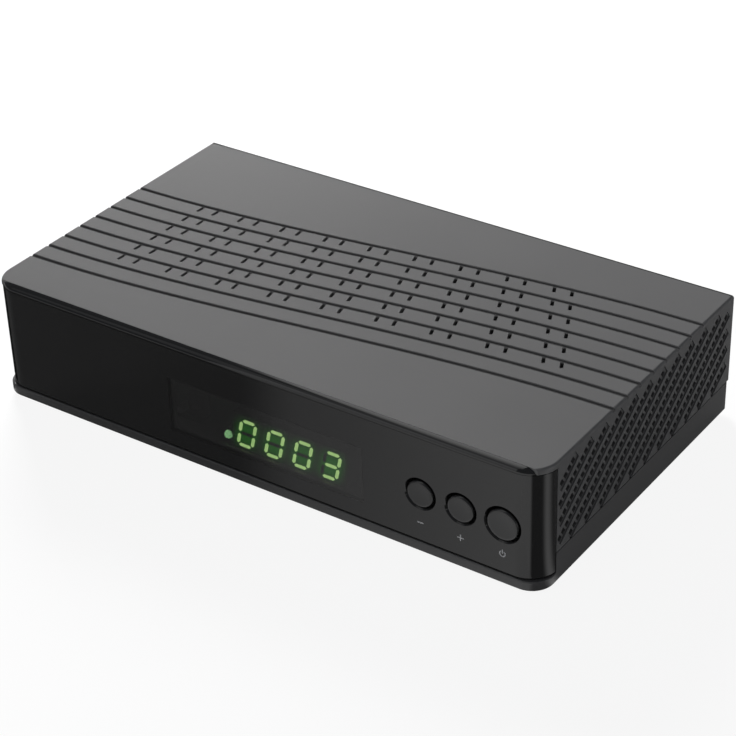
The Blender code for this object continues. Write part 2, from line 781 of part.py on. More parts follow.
def top_cover():
    """Roof, side walls and a frame round the rear opening, with bosses for the screws."""
    cover = slab(0, PARTING_Z + SEAT_GAP, TOP_Z, "top_cover")
    round_cover_edge(cover)
    reach = HALF_WIDTH + CUT_OVERRUN
    below = PARTING_Z - CUT_OVERRUN
    hollow = slab(WALL, below, ROOF_Z, "cover_hollow")
    front_room = box((-reach, FRONT_Y - CUT_OVERRUN, below), (reach, WALL_START_Y, LIP_Z))
    rear_door = box(
        (-OPENING_HALF, BACK_Y - WALL - CUT_OVERRUN, below),
        (OPENING_HALF, BACK_Y + CUT_OVERRUN, ROOF_Z - REAR_LIP),
    )
    cut(cover, hollow, front_room, rear_door)
    boss_low = TRAY_BOSS_Z + SEAT_GAP
    bosses = pillars(BOSS_PLACES, BOSS_RADIUS, boss_low, ROOF_Z + WALL / 2, BOSS_STEPS)
    pilots = pillars(
        BOSS_PLACES,
        SCREW_HOLE_RADIUS,
        boss_low - CUT_OVERRUN,
        boss_low + CASE_SCREW_LENGTH,
        SCREW_STEPS,
    )
    join(cover, bosses)
    cut(cover, pilots)
    rib_back = PLATE_IN_Y - SEAT_GAP
    ribs = boxes(
        [
            (
                (side * OPENING_HALF / 2 - BOSS_RADIUS, rib_back - WALL, ROOF_Z - REAR_LIP),
                (side * OPENING_HALF / 2 + BOSS_RADIUS, rib_back, ROOF_Z + WALL / 2),
            )
            for side in (-1, 1)
        ]
    )
    join(cover, ribs)
    cut(cover, groove_cutter(), vent_cutter(), lattice_cutter())
    return as_part(cover, "top_cover", "cover_plastic")


def floor_vents():
    middle_y = (FRONT_Y + BACK_Y) / 2
    pairs = []
    for share in FLOOR_VENT_PLACE_SHARES:
        for index in range(FLOOR_VENT_COUNT):
            x = CASE_WIDTH * share + FLOOR_VENT_PITCH * (index - (FLOOR_VENT_COUNT - 1) / 2)
            low = (x - FLOOR_VENT_WIDTH / 2, middle_y - FLOOR_VENT_LENGTH / 2, BASE_Z - CUT_OVERRUN)
            high = (x + FLOOR_VENT_WIDTH / 2, middle_y + FLOOR_VENT_LENGTH / 2, FLOOR_Z + CUT_OVERRUN)
            pairs.append((low, high))
    return boxes(pairs, "floor_vents")


def board_screw_places():
    x = BOARD_HALF - BOARD_SCREW_INSET
    ahead_of_tuner = tuner_back_y() - TUNER_DEPTH - BOARD_SCREW_SPACE - SCREW_HEAD_RADIUS
    return mirrored_x([(x, BOARD_FRONT_Y + BOARD_SCREW_INSET), (x, ahead_of_tuner)])


def foot_places():
    x = HALF_WIDTH - FOOT_SIDE_INSET
    return mirrored_x([(x, FRONT_Y + FOOT_END_INSET), (x, BACK_Y - FOOT_END_INSET)])


def bottom_shell():
    """Tray: floor, low side walls with a tongue, front lip, bosses, standoffs and vents."""
    tray = slab(0, BASE_Z, PARTING_Z, "bottom_shell")
    reach = HALF_WIDTH + CUT_OVERRUN
    tongue = cut(
        slab(WALL + SEAT_GAP, FLOOR_Z + WALL, PARTING_Z + TONGUE_HEIGHT, "tongue"),
        slab(TRAY_WALL, FLOOR_Z, PARTING_Z + TONGUE_HEIGHT + CUT_OVERRUN, "tongue_hollow"),
        box(
            (-reach, FRONT_Y - CUT_OVERRUN, FLOOR_Z),
            (reach, WALL_START_Y + PANEL_TAB_LENGTH + SEAT_GAP, TOP_Z),
        ),
        box((-reach, BACK_Y - WALL - REAR_FLANGE - SEAT_GAP, FLOOR_Z), (reach, BACK_Y, TOP_Z)),
    )
    join(tray, tongue)
    high = TOP_Z
    hollow = slab(TRAY_WALL, FLOOR_Z, high, "tray_hollow")
    front_room = box(
        (-reach, FRONT_Y - CUT_OVERRUN, BASE_Z + BOTTOM_LIP),
        (reach, WALL_START_Y, high),
    )
    rear_step = box(
        (-reach, BACK_Y - TRAY_REAR_STEP, BASE_Z - CUT_OVERRUN), (reach, BACK_Y + CUT_OVERRUN, high)
    )
    rear_door = box(
        (-OPENING_HALF, BACK_Y - TRAY_WALL - CUT_OVERRUN, FLOOR_Z + SILL_HEIGHT),
        (OPENING_HALF, BACK_Y + CUT_OVERRUN, high),
    )
    plate_slot = box(
        (-PLATE_HALF - SEAT_GAP, BACK_Y - TRAY_WALL - CUT_OVERRUN, FLOOR_Z + SEAT_GAP / 2),
        (PLATE_HALF + SEAT_GAP, PLATE_OUT_Y + SEAT_GAP, high),
    )
    cut(tray, hollow, front_room, rear_step, rear_door, plate_slot)
    rib_back = PLATE_IN_Y - SEAT_GAP
    sill = box(
        (-OPENING_HALF, rib_back - WALL, FLOOR_Z - WALL / 2),
        (OPENING_HALF, rib_back, FLOOR_Z + SILL_HEIGHT),
    )
    bosses = pillars(BOSS_PLACES, BOSS_RADIUS, FLOOR_Z - WALL / 2, TRAY_BOSS_Z, BOSS_STEPS)
    standoffs = pillars(
        board_screw_places(),
        STANDOFF_RADIUS,
        FLOOR_Z - WALL / 2,
        FLOOR_Z + STANDOFF_HEIGHT,
        SCREW_STEPS,
    )
    join(tray, sill, bosses, standoffs)
    under = BASE_Z - CUT_OVERRUN
    head_room = pillars(
        BOSS_PLACES, HEAD_HOLE_RADIUS, under, BASE_Z + SCREW_HEAD_HEIGHT + SEAT_GAP * 2, BOSS_STEPS
    )
    clearance = pillars(
        BOSS_PLACES, SCREW_HOLE_RADIUS, under, TRAY_BOSS_Z + CUT_OVERRUN, SCREW_STEPS
    )
    pilots = pillars(
        board_screw_places(),
        SCREW_HOLE_RADIUS,
        FLOOR_Z,
        FLOOR_Z + STANDOFF_HEIGHT + CUT_OVERRUN,
        SCREW_STEPS,
    )
    recesses = pillars(
        foot_places(), FOOT_RADIUS + SEAT_GAP, under, BASE_Z + FOOT_RECESS, FOOT_STEPS
    )
    cut(tray, head_room, clearance, pilots, recesses, floor_vents())
    return as_part(tray, "bottom_shell", "tray_plastic")


def window_heights():
    low = PANEL_LOW_Z + WINDOW_LOW_SHARE * PANEL_HEIGHT
    high = PANEL_LOW_Z + WINDOW_HIGH_SHARE * PANEL_HEIGHT
    return low, high


def panel_post_places():
    """Posts that carry the front board, clear of the window and the buttons."""
    low = FRONT_BOARD_LOW_Z + PANEL_POST_INSET
    high = FRONT_BOARD_HIGH_Z - PANEL_POST_INSET
    left = FRONT_BOARD_LEFT + PANEL_POST_INSET
    right = FRONT_BOARD_RIGHT - PANEL_POST_INSET - PANEL_POST_RADIUS
    between = (WINDOW_RIGHT + BUTTONS[0][1] - BUTTONS[0][2]) / 2
    return [(left, low), (between, high), (right, high)]


def button_hole(x, radius, dish_radius):
    """Cutter for a button's hole, which widens to a dish at the panel's face."""
    outside = PANEL_SETBACK
    back = -(PANEL_WALL + CUT_OVERRUN)
    widening = (dish_radius - radius) / DISH_DEPTH
    profile = [
        (0, outside),
        (dish_radius + widening * outside, outside),
        (radius, -DISH_DEPTH),
        (radius, back),
        (0, back),
    ]
    return turned(profile, (x, PANEL_FACE_Y, BUTTON_Z), (0, -1, 0), BUTTON_STEPS)


def front_panel():
    """Glossy moulding that wraps both corners, with dished button holes, a stepped
    window opening, posts for the front board and tabs that tuck behind the cover."""
    panel = slab(PANEL_SETBACK, PANEL_LOW_Z, PANEL_HIGH_Z, "front_panel")
    bevel(panel, PANEL_EDGE_ROUND, steps=2, angle=math.radians(60))
    reach = HALF_WIDTH + CUT_OVERRUN
    inner = PANEL_SETBACK + PANEL_WALL
    low = PANEL_LOW_Z - CUT_OVERRUN
    high = PANEL_HIGH_Z + CUT_OVERRUN
    hollow = slab(inner, low, high, "panel_hollow")
    behind = box((-reach, RETURN_Y, low), (reach, BACK_Y + CUT_OVERRUN, high))
    cut(panel, hollow, behind)
    middle_z = (PANEL_LOW_Z + PANEL_HIGH_Z) / 2
    tab_out = HALF_WIDTH - WALL - SEAT_GAP
    tab_in = tab_out - PANEL_TAB_WALL
    tab_back = WALL_START_Y + PANEL_TAB_LENGTH
    tabs = []
    for side in (-1, 1):
        sides = sorted((side * tab_in, side * tab_out))
        tabs.append(
            (
                (sides[0], RETURN_Y - PANEL_TAB_ROOT, middle_z - PANEL_TAB_HEIGHT / 2),
                (sides[1], tab_back, middle_z + PANEL_TAB_HEIGHT / 2),
            )
        )
    posts = level_pillars(
        panel_post_places(),
        PANEL_POST_RADIUS,
        PANEL_BACK_Y - PANEL_POST_ROOT,
        FRONT_BOARD_Y - SEAT_GAP,
        SCREW_STEPS,
    )
    join(panel, boxes(tabs), posts)
    pilots = level_pillars(
        panel_post_places(),
        SCREW_HOLE_RADIUS,
        FRONT_BOARD_Y + BOARD_THICKNESS - BOARD_SCREW_LENGTH - SEAT_GAP * 2,
        FRONT_BOARD_Y + CUT_OVERRUN,
        SCREW_STEPS,
    )
    window_low, window_high = window_heights()
    pocket = box(
        (WINDOW_LEFT - SEAT_GAP, FRONT_Y - CUT_OVERRUN, window_low - SEAT_GAP),
        (WINDOW_RIGHT + SEAT_GAP, PANEL_FACE_Y + WINDOW_THICKNESS + SEAT_GAP, window_high + SEAT_GAP),
    )
    see_through = box(
        (WINDOW_LEFT + WINDOW_LEDGE, FRONT_Y - CUT_OVERRUN, window_low + WINDOW_LEDGE),
        (WINDOW_RIGHT - WINDOW_LEDGE, PANEL_BACK_Y + CUT_OVERRUN, window_high - WINDOW_LEDGE),
    )
    cut(panel, pilots, pocket, see_through)
    for _, x, cap_radius, dish_radius in BUTTONS:
        cut(panel, button_hole(x, cap_radius + SEAT_GAP, dish_radius))
    return as_part(panel, "front_panel", "gloss_black")


def display_window():
    low, high = window_heights()
    lens = box((WINDOW_LEFT, PANEL_FACE_Y, low), (WINDOW_RIGHT, PANEL_FACE_Y + WINDOW_THICKNESS, high))
    return as_part(lens, "display_window", "smoked_lens")


def push_button(name, x, cap_radius):
    """Round cap with a crowned face, two ears that keep it in, and a stem behind."""
    face = PANEL_FACE_Y - BUTTON_PROUD
    back = PANEL_BACK_Y + BUTTON_BACK_REACH + SEAT_GAP
    profile = [
        (0, BUTTON_CROWN),
        (cap_radius / 2, BUTTON_CROWN * 3 / 4),
        (cap_radius - BUTTON_EDGE, 0),
        (cap_radius, -BUTTON_EDGE),
        (cap_radius, face - back),
        (0, face - back),
    ]
    button = turned(profile, (x, face + BUTTON_CROWN, BUTTON_Z), (0, -1, 0), BUTTON_STEPS)
    ear_front = PANEL_BACK_Y + SEAT_GAP
    ear_reach = cap_radius + EAR_OVERLAP
    ears = box(
        (x - EAR_WIDTH / 2, ear_front, BUTTON_Z - ear_reach),
        (x + EAR_WIDTH / 2, ear_front + EAR_THICKNESS, BUTTON_Z + ear_reach),
    )
    stem = level_pillars([(x, BUTTON_Z)], STEM_RADIUS, ear_front, STEM_END_Y, SCREW_STEPS)
    join(button, ears, stem)
    return as_part(button, "button_" + name, "button_black")


def plunger(name, x):
    """The moving middle of a switch, which the button's stem pushes."""
    profile = [(0, 0), (PLUNGER_RADIUS, 0), (PLUNGER_RADIUS, -PLUNGER_LENGTH), (0, -PLUNGER_LENGTH)]
    made = turned(profile, (x, PLUNGER_FRONT_Y, BUTTON_Z), (0, -1, 0), SCREW_STEPS)
    return as_part(made, "plunger_" + name, "plunger_brown")


def tact_switch(name, x):
    """A square switch body with a well for its plunger."""
    half = SWITCH_SIDE / 2
    back = SWITCH_FACE_Y + SWITCH_HEIGHT
    body = box((x - half, SWITCH_FACE_Y, BUTTON_Z - half), (x + half, back, BUTTON_Z + half))
    well = level_pillars(
        [(x, BUTTON_Z)],
        PLUNGER_RADIUS + SEAT_GAP,
        SWITCH_FACE_Y - CUT_OVERRUN,
        SWITCH_FACE_Y + SWITCH_WELL_DEPTH,
        SCREW_STEPS,
    )
    cut(body, well)
    return as_part(body, "tact_switch_" + name, "switch_black")


def front_board():
    board = box(
        (FRONT_BOARD_LEFT, FRONT_BOARD_Y, FRONT_BOARD_LOW_Z),
        (FRONT_BOARD_RIGHT, FRONT_BOARD_BACK_Y, FRONT_BOARD_HIGH_Z),
    )
    holes = level_pillars(
        panel_post_places(),
        SCREW_HOLE_RADIUS,
        FRONT_BOARD_Y - CUT_OVERRUN,
        FRONT_BOARD_BACK_Y + CUT_OVERRUN,
        SCREW_STEPS,
    )
    cut(board, holes)
    return as_part(board, "front_board", "board_green")


def display_module():
    half_width = DISPLAY_WIDTH / 2
    half_height = DISPLAY_HEIGHT / 2
    module = box(
        (DISPLAY_MIDDLE_X - half_width, DISPLAY_FACE_Y, DISPLAY_Z - half_height),
        (DISPLAY_MIDDLE_X + half_width, DISPLAY_FACE_Y + DISPLAY_DEPTH, DISPLAY_Z + half_height),
    )
    return as_part(module, "display_module", "display_grey")


def status_led():
    """A round lamp with a domed end on a long neck, its flange against the front board."""
    straight = LED_LENGTH - LED_RADIUS
    slant = LED_RADIUS * math.sqrt(0.5)
    collar = LED_RADIUS + LED_FLANGE
    profile = [
        (0, straight + LED_RADIUS),
        (slant, straight + slant),
        (LED_RADIUS, straight),
        (LED_RADIUS, LED_FLANGE * 2),
        (collar, LED_FLANGE * 2),
        (collar, 0),
        (0, 0),
    ]
    base = (LED_X, FRONT_BOARD_Y - SEAT_GAP, DISPLAY_Z - LED_DROP)
    lamp = turned(profile, base, (0, -1, 0), SCREW_STEPS)
    return as_part(lamp, "status_led", "led_green")


def ir_receiver():
    """The remote control's eye: a small block with a round lens on its front."""
    x = EYE_X
    back = FRONT_BOARD_Y - SEAT_GAP
    block = box(
        (x - EYE_WIDTH / 2, back - EYE_DEPTH, DISPLAY_Z - EYE_HEIGHT / 2),
        (x + EYE_WIDTH / 2, back, DISPLAY_Z + EYE_HEIGHT / 2),
    )
    slant = EYE_DOME_RADIUS * math.sqrt(0.5)
    profile = [
        (0, EYE_DOME_RADIUS),
        (slant, slant),
        (EYE_DOME_RADIUS, 0),
        (EYE_DOME_RADIUS, -EYE_DEPTH / 2),
        (0, -EYE_DEPTH / 2),
    ]
    dome = turned(profile, (x, back - EYE_DEPTH, DISPLAY_Z), (0, -1, 0), SCREW_STEPS)
    join(block, dome)
    return as_part(block, "ir_receiver", "eye_black")


def link_header():
    """The plug strip between the two boards."""
    low_y = FRONT_BOARD_BACK_Y + SEAT_GAP
    strip = box(
        (HEADER_PLACE - HEADER_WIDTH / 2, low_y, SEAT_Z),
        (HEADER_PLACE + HEADER_WIDTH / 2, low_y + BOARD_FRONT_SPACE + HEADER_DEPTH, SEAT_Z + HEADER_HEIGHT),
    )
    return as_part(strip, "link_header", "switch_black")


def main_board():
    board = box((-BOARD_HALF, BOARD_FRONT_Y, BOARD_LOW_Z), (BOARD_HALF, BOARD_BACK_Y, BOARD_TOP_Z))
    holes = pillars(
        board_screw_places(),
        SCREW_HOLE_RADIUS,
        BOARD_LOW_Z - CUT_OVERRUN,
        BOARD_TOP_Z + CUT_OVERRUN,
        SCREW_STEPS,
    )
    cut(board, holes)
    return as_part(board, "main_board", "board_green")


def standing_box(size, shares):
    """A box of this size, standing on the main board."""
    x, y = board_point(shares)
    width, depth, height = size
    return box(
        (x - width / 2, y - depth / 2, SEAT_Z),
        (x + width / 2, y + depth / 2, SEAT_Z + height),
    )


def board_parts():
    """Chips, crystal, coils and capacitors."""
    chip = standing_box((CHIP_SIDE, CHIP_SIDE, CHIP_HEIGHT), CHIP_PLACE_SHARES)
    as_part(chip, "main_chip", "chip_black")
    as_part(standing_box(MEMORY_SIZE, MEMORY_PLACE_SHARES), "memory_chip", "chip_black")
    as_part(standing_box(FLASH_SIZE, FLASH_PLACE_SHARES), "flash_chip", "chip_black")
    crystal = standing_box(CRYSTAL_SIZE, CRYSTAL_PLACE_SHARES)
    upright = crystal.modifiers.new("round_ends", "BEVEL")
    upright.width = CRYSTAL_SIZE[1] * 0.45
    upright.segments = 3
    upright.limit_method = "WEIGHT"
    weigh_upright_edges(crystal)
    as_part(crystal, "crystal", "tinned_steel")
    power_inductors()
    capacitors()


def weigh_upright_edges(piece):
    """Marks the upright edges of a piece as the ones that its bevel rounds."""
    shape = bmesh.new()
    shape.from_mesh(piece.data)
    weight = shape.edges.layers.float.new("bevel_weight_edge")
    for edge in shape.edges:
        run = edge.verts[0].co - edge.verts[1].co
        if abs(run.z) > abs(run.x) + abs(run.y):
            edge[weight] = 1
    shape.to_mesh(piece.data)
    shape.free()


def power_inductors():
    half = COIL_SIDE / 2
    coil = box((-half, -half, 0), (half, half, COIL_HEIGHT))
    weigh_upright_edges(coil)
    corners = coil.modifiers.new("corners", "BEVEL")
    corners.width = COIL_EDGE
    corners.segments = 1
    corners.limit_method = "WEIGHT"
    places = [(*board_point(shares), SEAT_Z) for shares in COIL_PLACE_SHARES]
    spread(coil, places, "power_inductor", "ferrite")


def capacitor_profile(radius, height):
    """An electrolytic can, crimped near its foot."""
    crimp = CAPACITOR_CRIMP
    rise = CAPACITOR_CRIMP_RISE
    return [
        (0, height),
        (radius - crimp, height),
        (radius, height - crimp),
        (radius, rise + crimp),
        (radius - crimp, rise),
        (radius, rise - crimp),
        (radius, 0),
        (0, 0),
    ]


def capacitors():
    for radius, height, place_shares in CAPACITORS:
        profile = capacitor_profile(radius, height)
        for number, shares in place_shares:
            can = turned(profile, (*board_point(shares), SEAT_Z), (0, 0, 1), CAPACITOR_STEPS)
            as_part(can, f"capacitor_{number}", "sleeve_black")


def heatsink():
    """A finned block that sits on the main chip."""
    x, y = board_point(CHIP_PLACE_SHARES)
    half = HEATSINK_SIDE / 2
    low = SEAT_Z + CHIP_HEIGHT + SEAT_GAP
    base_top = low + HEATSINK_BASE
    high = base_top + HEATSINK_FIN_HEIGHT
    block = box((x - half, y - half, low), (x + half, y + half, high))
    pitch = (HEATSINK_SIDE - HEATSINK_FIN) / (HEATSINK_FIN_COUNT - 1)
    gaps = []
    for index in range(HEATSINK_FIN_COUNT - 1):
        left = x - half + HEATSINK_FIN + index * pitch
        right = left + pitch - HEATSINK_FIN
        gaps.append(
            ((left, y - half - CUT_OVERRUN, base_top), (right, y + half + CUT_OVERRUN, high + CUT_OVERRUN))
        )
    cut(block, boxes(gaps, "fin_gaps"))
    return as_part(block, "heatsink", "heatsink_metal")


def tuner_x():
    return SOCKET_X["tuner"]


def tuner_back_y():
    return PLATE_IN_Y - SEAT_GAP - CONNECTOR_COLLAR - SEAT_GAP


def tuner_can():
    """The tuner's shield: a tin box with a lid whose rim steps in."""
    half = TUNER_WIDTH / 2
    back = tuner_back_y()
    low = (tuner_x() - half, back - TUNER_DEPTH, SEAT_Z)
    high = (tuner_x() + half, back, SEAT_Z + TUNER_HEIGHT)
    can = box(low, high)
    step = TUNER_LID_STEP
    lid = box(
        (low[0] + step, low[1] + step, high[2] - TUNER_LID / 2),
        (high[0] - step, high[1] - step, high[2] + TUNER_LID),
    )
    join(can, lid)
    return as_part(can, "tuner_can", "tinned_steel")


def connector_places():
    """Where the two aerial connectors pass the rear panel, with their names."""
    z = SEAT_Z + CONNECTOR_RISE
    half = CONNECTOR_SPACING / 2
    return [("lnb_in_connector", tuner_x() + half, z), ("lnb_out_connector", tuner_x() - half, z)]


def aerial_connectors():
    """Screw-on coaxial connectors: a collar inside the panel and a barrel outside."""
    collar_back = tuner_back_y() + SEAT_GAP
    length = BACK_Y + CONNECTOR_REACH - collar_back
    for name, x, z in connector_places():
        profile = [
            (0, length - CONNECTOR_BORE_DEPTH),
            (CONNECTOR_BORE_RADIUS, length - CONNECTOR_BORE_DEPTH),
            (CONNECTOR_BORE_RADIUS, length),
            (CONNECTOR_RADIUS - CONNECTOR_CHAMFER, length),
            (CONNECTOR_RADIUS, length - CONNECTOR_CHAMFER),
            (CONNECTOR_RADIUS, CONNECTOR_COLLAR),
            (CONNECTOR_COLLAR_RADIUS, CONNECTOR_COLLAR),
            (CONNECTOR_COLLAR_RADIUS, 0),
            (0, 0),
        ]
        made = turned(profile, (x, collar_back, z), (0, 1, 0), CONNECTOR_STEPS)
        as_part(made, name, "nickel")


def connector_nuts():
    """Hexagon nuts against the outside of the rear panel."""
    low = PLATE_OUT_Y + SEAT_GAP
    high = low + NUT_THICKNESS
    for number, (_, x, z) in enumerate(connector_places(), 1):
        nut = level_pillars([(x, z)], NUT_RADIUS, low, high, NUT_SIDES)
        bore = level_pillars(
            [(x, z)],
            CONNECTOR_RADIUS + SEAT_GAP,
            low - CUT_OVERRUN,
            high + CUT_OVERRUN,
            CONNECTOR_STEPS,
        )
        cut(nut, bore)
        as_part(nut, f"connector_nut_{number}", "nickel")


def audio_x():
    return SOCKET_X["audio"]


def audio_socket():
    """Coaxial audio socket: a block on the board and a ring outside the panel."""
    x = audio_x()
    z = SEAT_Z + AUDIO_RISE
    back = PLATE_IN_Y - SEAT_GAP
    block = box(
        (x - AUDIO_WIDTH / 2, back - AUDIO_DEPTH, SEAT_Z),
        (x + AUDIO_WIDTH / 2, back, SEAT_Z + AUDIO_HEIGHT),
    )
    ring_end = PLATE_OUT_Y + AUDIO_RING_REACH
    root = back - AUDIO_DEPTH / 2
    length = ring_end - root
    shoulder = PLATE_OUT_Y + AUDIO_SHOULDER_REACH - root
    profile = [
        (0, AUDIO_SHOULDER_REACH),
        (AUDIO_RING_BORE, AUDIO_SHOULDER_REACH),
        (AUDIO_RING_BORE, length),
        (AUDIO_RING_RADIUS, length),
        (AUDIO_RING_RADIUS, shoulder),
        (AUDIO_SHOULDER_RADIUS, shoulder),
        (AUDIO_SHOULDER_RADIUS, 0),
        (0, 0),
    ]
    ring = turned(profile, (x, root, z), (0, 1, 0), CONNECTOR_STEPS)
    join(block, ring)
    return as_part(block, "audio_socket", "nickel")


def hdmi_outline(x, low_z, grow):
    """A wide socket's outline with its lower corners cut off."""
    half = HDMI_WIDTH / 2 + grow
    low = low_z + HDMI_SHELL - grow
    high = low_z + HDMI_SHELL + HDMI_HEIGHT + grow
    cut_share = HDMI_CORNER
    return [
        (x - half + cut_share, low),
        (x + half - cut_share, low),
        (x + half, low + cut_share),
        (x + half, high),
        (x - half, high),
        (x - half, low + cut_share),
    ]


def hdmi_socket():
    x = SOCKET_X["hdmi"]
    front = SOCKET_FACE_Y - HDMI_DEPTH
    shell = extruded_back(hdmi_outline(x, SEAT_Z, HDMI_SHELL), front, SOCKET_FACE_Y)
    pocket_front = SOCKET_FACE_Y - HDMI_POCKET
    pocket = extruded_back(hdmi_outline(x, SEAT_Z, 0), pocket_front, SOCKET_FACE_Y + CUT_OVERRUN)
    cut(shell, pocket)
    middle = SEAT_Z + HDMI_SHELL + HDMI_HEIGHT / 2
    tongue = box(
        (x - HDMI_TONGUE_WIDTH / 2, pocket_front - HDMI_TONGUE_BACK, middle - HDMI_TONGUE_HEIGHT / 2),
        (x + HDMI_TONGUE_WIDTH / 2, SOCKET_FACE_Y - HDMI_TONGUE_BACK, middle + HDMI_TONGUE_HEIGHT / 2),
    )
    join(shell, tongue)
    return as_part(shell, "hdmi_socket", "tinned_steel")


def scart_outline(x, low_z, inset):
    """The big socket's outline inside its rim, with one lower corner slanted."""
    left = x - SCART_WIDTH / 2 + inset
    right = x + SCART_WIDTH / 2 - inset
    low = low_z + inset
    high = low_z + SCART_HEIGHT - inset
    corner = SCART_CORNER
    return [(left, low), (right - corner, low), (right, low + corner), (right, high), (left, high)]


def scart_socket():
    """Block with a slot all round for the plug's skirt and two rows of contact slots."""
    x = SOCKET_X["scart"]
    half = SCART_WIDTH / 2
    body = box(
        (x - half, SOCKET_FACE_Y - SCART_DEPTH, SEAT_Z),
        (x + half, SOCKET_FACE_Y, SEAT_Z + SCART_HEIGHT),
    )
    pocket_front = SOCKET_FACE_Y - SCART_POCKET
    pocket = extruded_back(
        scart_outline(x, SEAT_Z, SCART_RIM), pocket_front, SOCKET_FACE_Y + CUT_OVERRUN
    )
    core = extruded_back(
        scart_outline(x, SEAT_Z, SCART_RIM + SCART_SKIRT),
        pocket_front - SCART_RIM,
        SOCKET_FACE_Y - SCART_CORE_BACK,
    )
    middle = SEAT_Z + SCART_HEIGHT / 2
    half_slot = SCART_SLOT_WIDTH / 2
    slot_floor = SOCKET_FACE_Y - SCART_SLOT_DEPTH
    slots = []
    for row in (-1, 1):
        z = middle + row * SCART_ROW_SPACING / 2
        for index in range(SCART_SLOT_COUNT):
            shift = SCART_SLOT_PITCH * (index - (SCART_SLOT_COUNT - 1) / 2)
            slot_x = x + shift - row * SCART_SLOT_PITCH / 4
            slots.append(
                (
                    (slot_x - half_slot, slot_floor, z - SCART_SLOT_HEIGHT / 2),
                    (slot_x + half_slot, SOCKET_FACE_Y + CUT_OVERRUN, z + SCART_SLOT_HEIGHT / 2),
                )
            )
    cut(body, pocket)
    join(body, core)
    cut(body, boxes(slots, "contact_slots"))
    return as_part(body, "scart_socket", "socket_black")


def usb_box(x, grow, front, back):
    """A box as large as the socket's mouth, grown all round."""
    half = USB_WIDTH / 2 + grow
    low = SEAT_Z + USB_SHELL - grow
    high = SEAT_Z + USB_SHELL + USB_HEIGHT + grow
    return box((x - half, front, low), (x + half, back, high))


def usb_socket():
    x = SOCKET_X["usb"]
    shell = usb_box(x, USB_SHELL, SOCKET_FACE_Y - USB_DEPTH, SOCKET_FACE_Y)
    pocket_front = SOCKET_FACE_Y - USB_POCKET
    cut(shell, usb_box(x, 0, pocket_front, SOCKET_FACE_Y + CUT_OVERRUN))
    high = SEAT_Z + USB_SHELL + USB_HEIGHT - USB_TONGUE_TOP
    half = USB_WIDTH / 2 - USB_TONGUE_SIDE
    tongue = box(
        (x - half, pocket_front - USB_TONGUE_BACK, high - USB_TONGUE_HEIGHT),
        (x + half, SOCKET_FACE_Y - USB_TONGUE_BACK, high),
    )
    join(shell, tongue)
    return as_part(shell, "usb_socket", "tinned_steel")


def dc_jack():
    """Power inlet: a block with a round well and a pin in its middle."""
    x = SOCKET_X["power"]
    z = SEAT_Z + POWER_RISE
    body = box(
        (x - POWER_WIDTH / 2, SOCKET_FACE_Y - POWER_DEPTH, SEAT_Z),
        (x + POWER_WIDTH / 2, SOCKET_FACE_Y, SEAT_Z + POWER_HEIGHT),
    )
    floor_y = SOCKET_FACE_Y - POWER_BORE_DEPTH
    well = level_pillars(
        [(x, z)], POWER_BORE_RADIUS, floor_y, SOCKET_FACE_Y + CUT_OVERRUN, CONNECTOR_STEPS
    )
    pin = level_pillars(
        [(x, z)], POWER_PIN_RADIUS, floor_y - POWER_PIN_BACK, SOCKET_FACE_Y - POWER_PIN_BACK, SCREW_STEPS
    )
    cut(body, well)
    join(body, pin)
    return as_part(body, "dc_jack", "socket_black")


def rear_panel():
    """Flat plate with a cut-out for each socket."""
    plate = box(
        (-PLATE_HALF, PLATE_IN_Y, FLOOR_Z + SEAT_GAP), (PLATE_HALF, PLATE_OUT_Y, ROOF_Z - SEAT_GAP)
    )
    front = PLATE_IN_Y - CUT_OVERRUN
    back = PLATE_OUT_Y + CUT_OVERRUN
    gap = SEAT_GAP
    scart_x = SOCKET_X["scart"]
    power_x = SOCKET_X["power"]
    usb_x = SOCKET_X["usb"]
    scart_half = SCART_WIDTH / 2 + gap
    power_half = POWER_WIDTH / 2 + gap
    usb_half = USB_WIDTH / 2 + USB_SHELL + gap
    low = SEAT_Z - gap
    openings = boxes(
        [
            ((scart_x - scart_half, front, low), (scart_x + scart_half, back, SEAT_Z + SCART_HEIGHT + gap)),
            ((power_x - power_half, front, low), (power_x + power_half, back, SEAT_Z + POWER_HEIGHT + gap)),
            (
                (usb_x - usb_half, front, low),
                (usb_x + usb_half, back, SEAT_Z + USB_HEIGHT + 2 * USB_SHELL + gap),
            ),
        ]
    )
    hdmi = extruded_back(
        hdmi_outline(SOCKET_X["hdmi"], SEAT_Z, HDMI_SHELL + gap), front, back
    )
    barrels = level_pillars(
        [(x, z) for _, x, z in connector_places()],
        CONNECTOR_RADIUS + gap,
        front,
        back,
        CONNECTOR_STEPS,
    )
    ring = level_pillars(
        [(audio_x(), SEAT_Z + AUDIO_RISE)], AUDIO_SHOULDER_RADIUS + gap, front, back, CONNECTOR_STEPS
    )
    cut(plate, openings, hdmi, barrels, ring)
    return as_part(plate, "rear_panel", "plate_black")


def screw_profile(length):
    """A round head with its top at zero height and the shank below it."""
    head = SCREW_HEAD_HEIGHT
    crown = SCREW_HEAD_HEIGHT / 3
    return [
        (0, 0),
        (SCREW_HEAD_RADIUS - crown, 0),
        (SCREW_HEAD_RADIUS, -crown),
        (SCREW_HEAD_RADIUS, -head),
        (SCREW_RADIUS, -head),
        (SCREW_RADIUS, -head - length),
        (0, -head - length),
    ]


def screws(places, direction, length, name):
    """Equal screws. Each place is the top of a head, and direction is where heads face."""
    screw = turned(screw_profile(length), (0, 0, 0), direction, SCREW_STEPS)
    spread(screw, places, name, "screw_zinc")


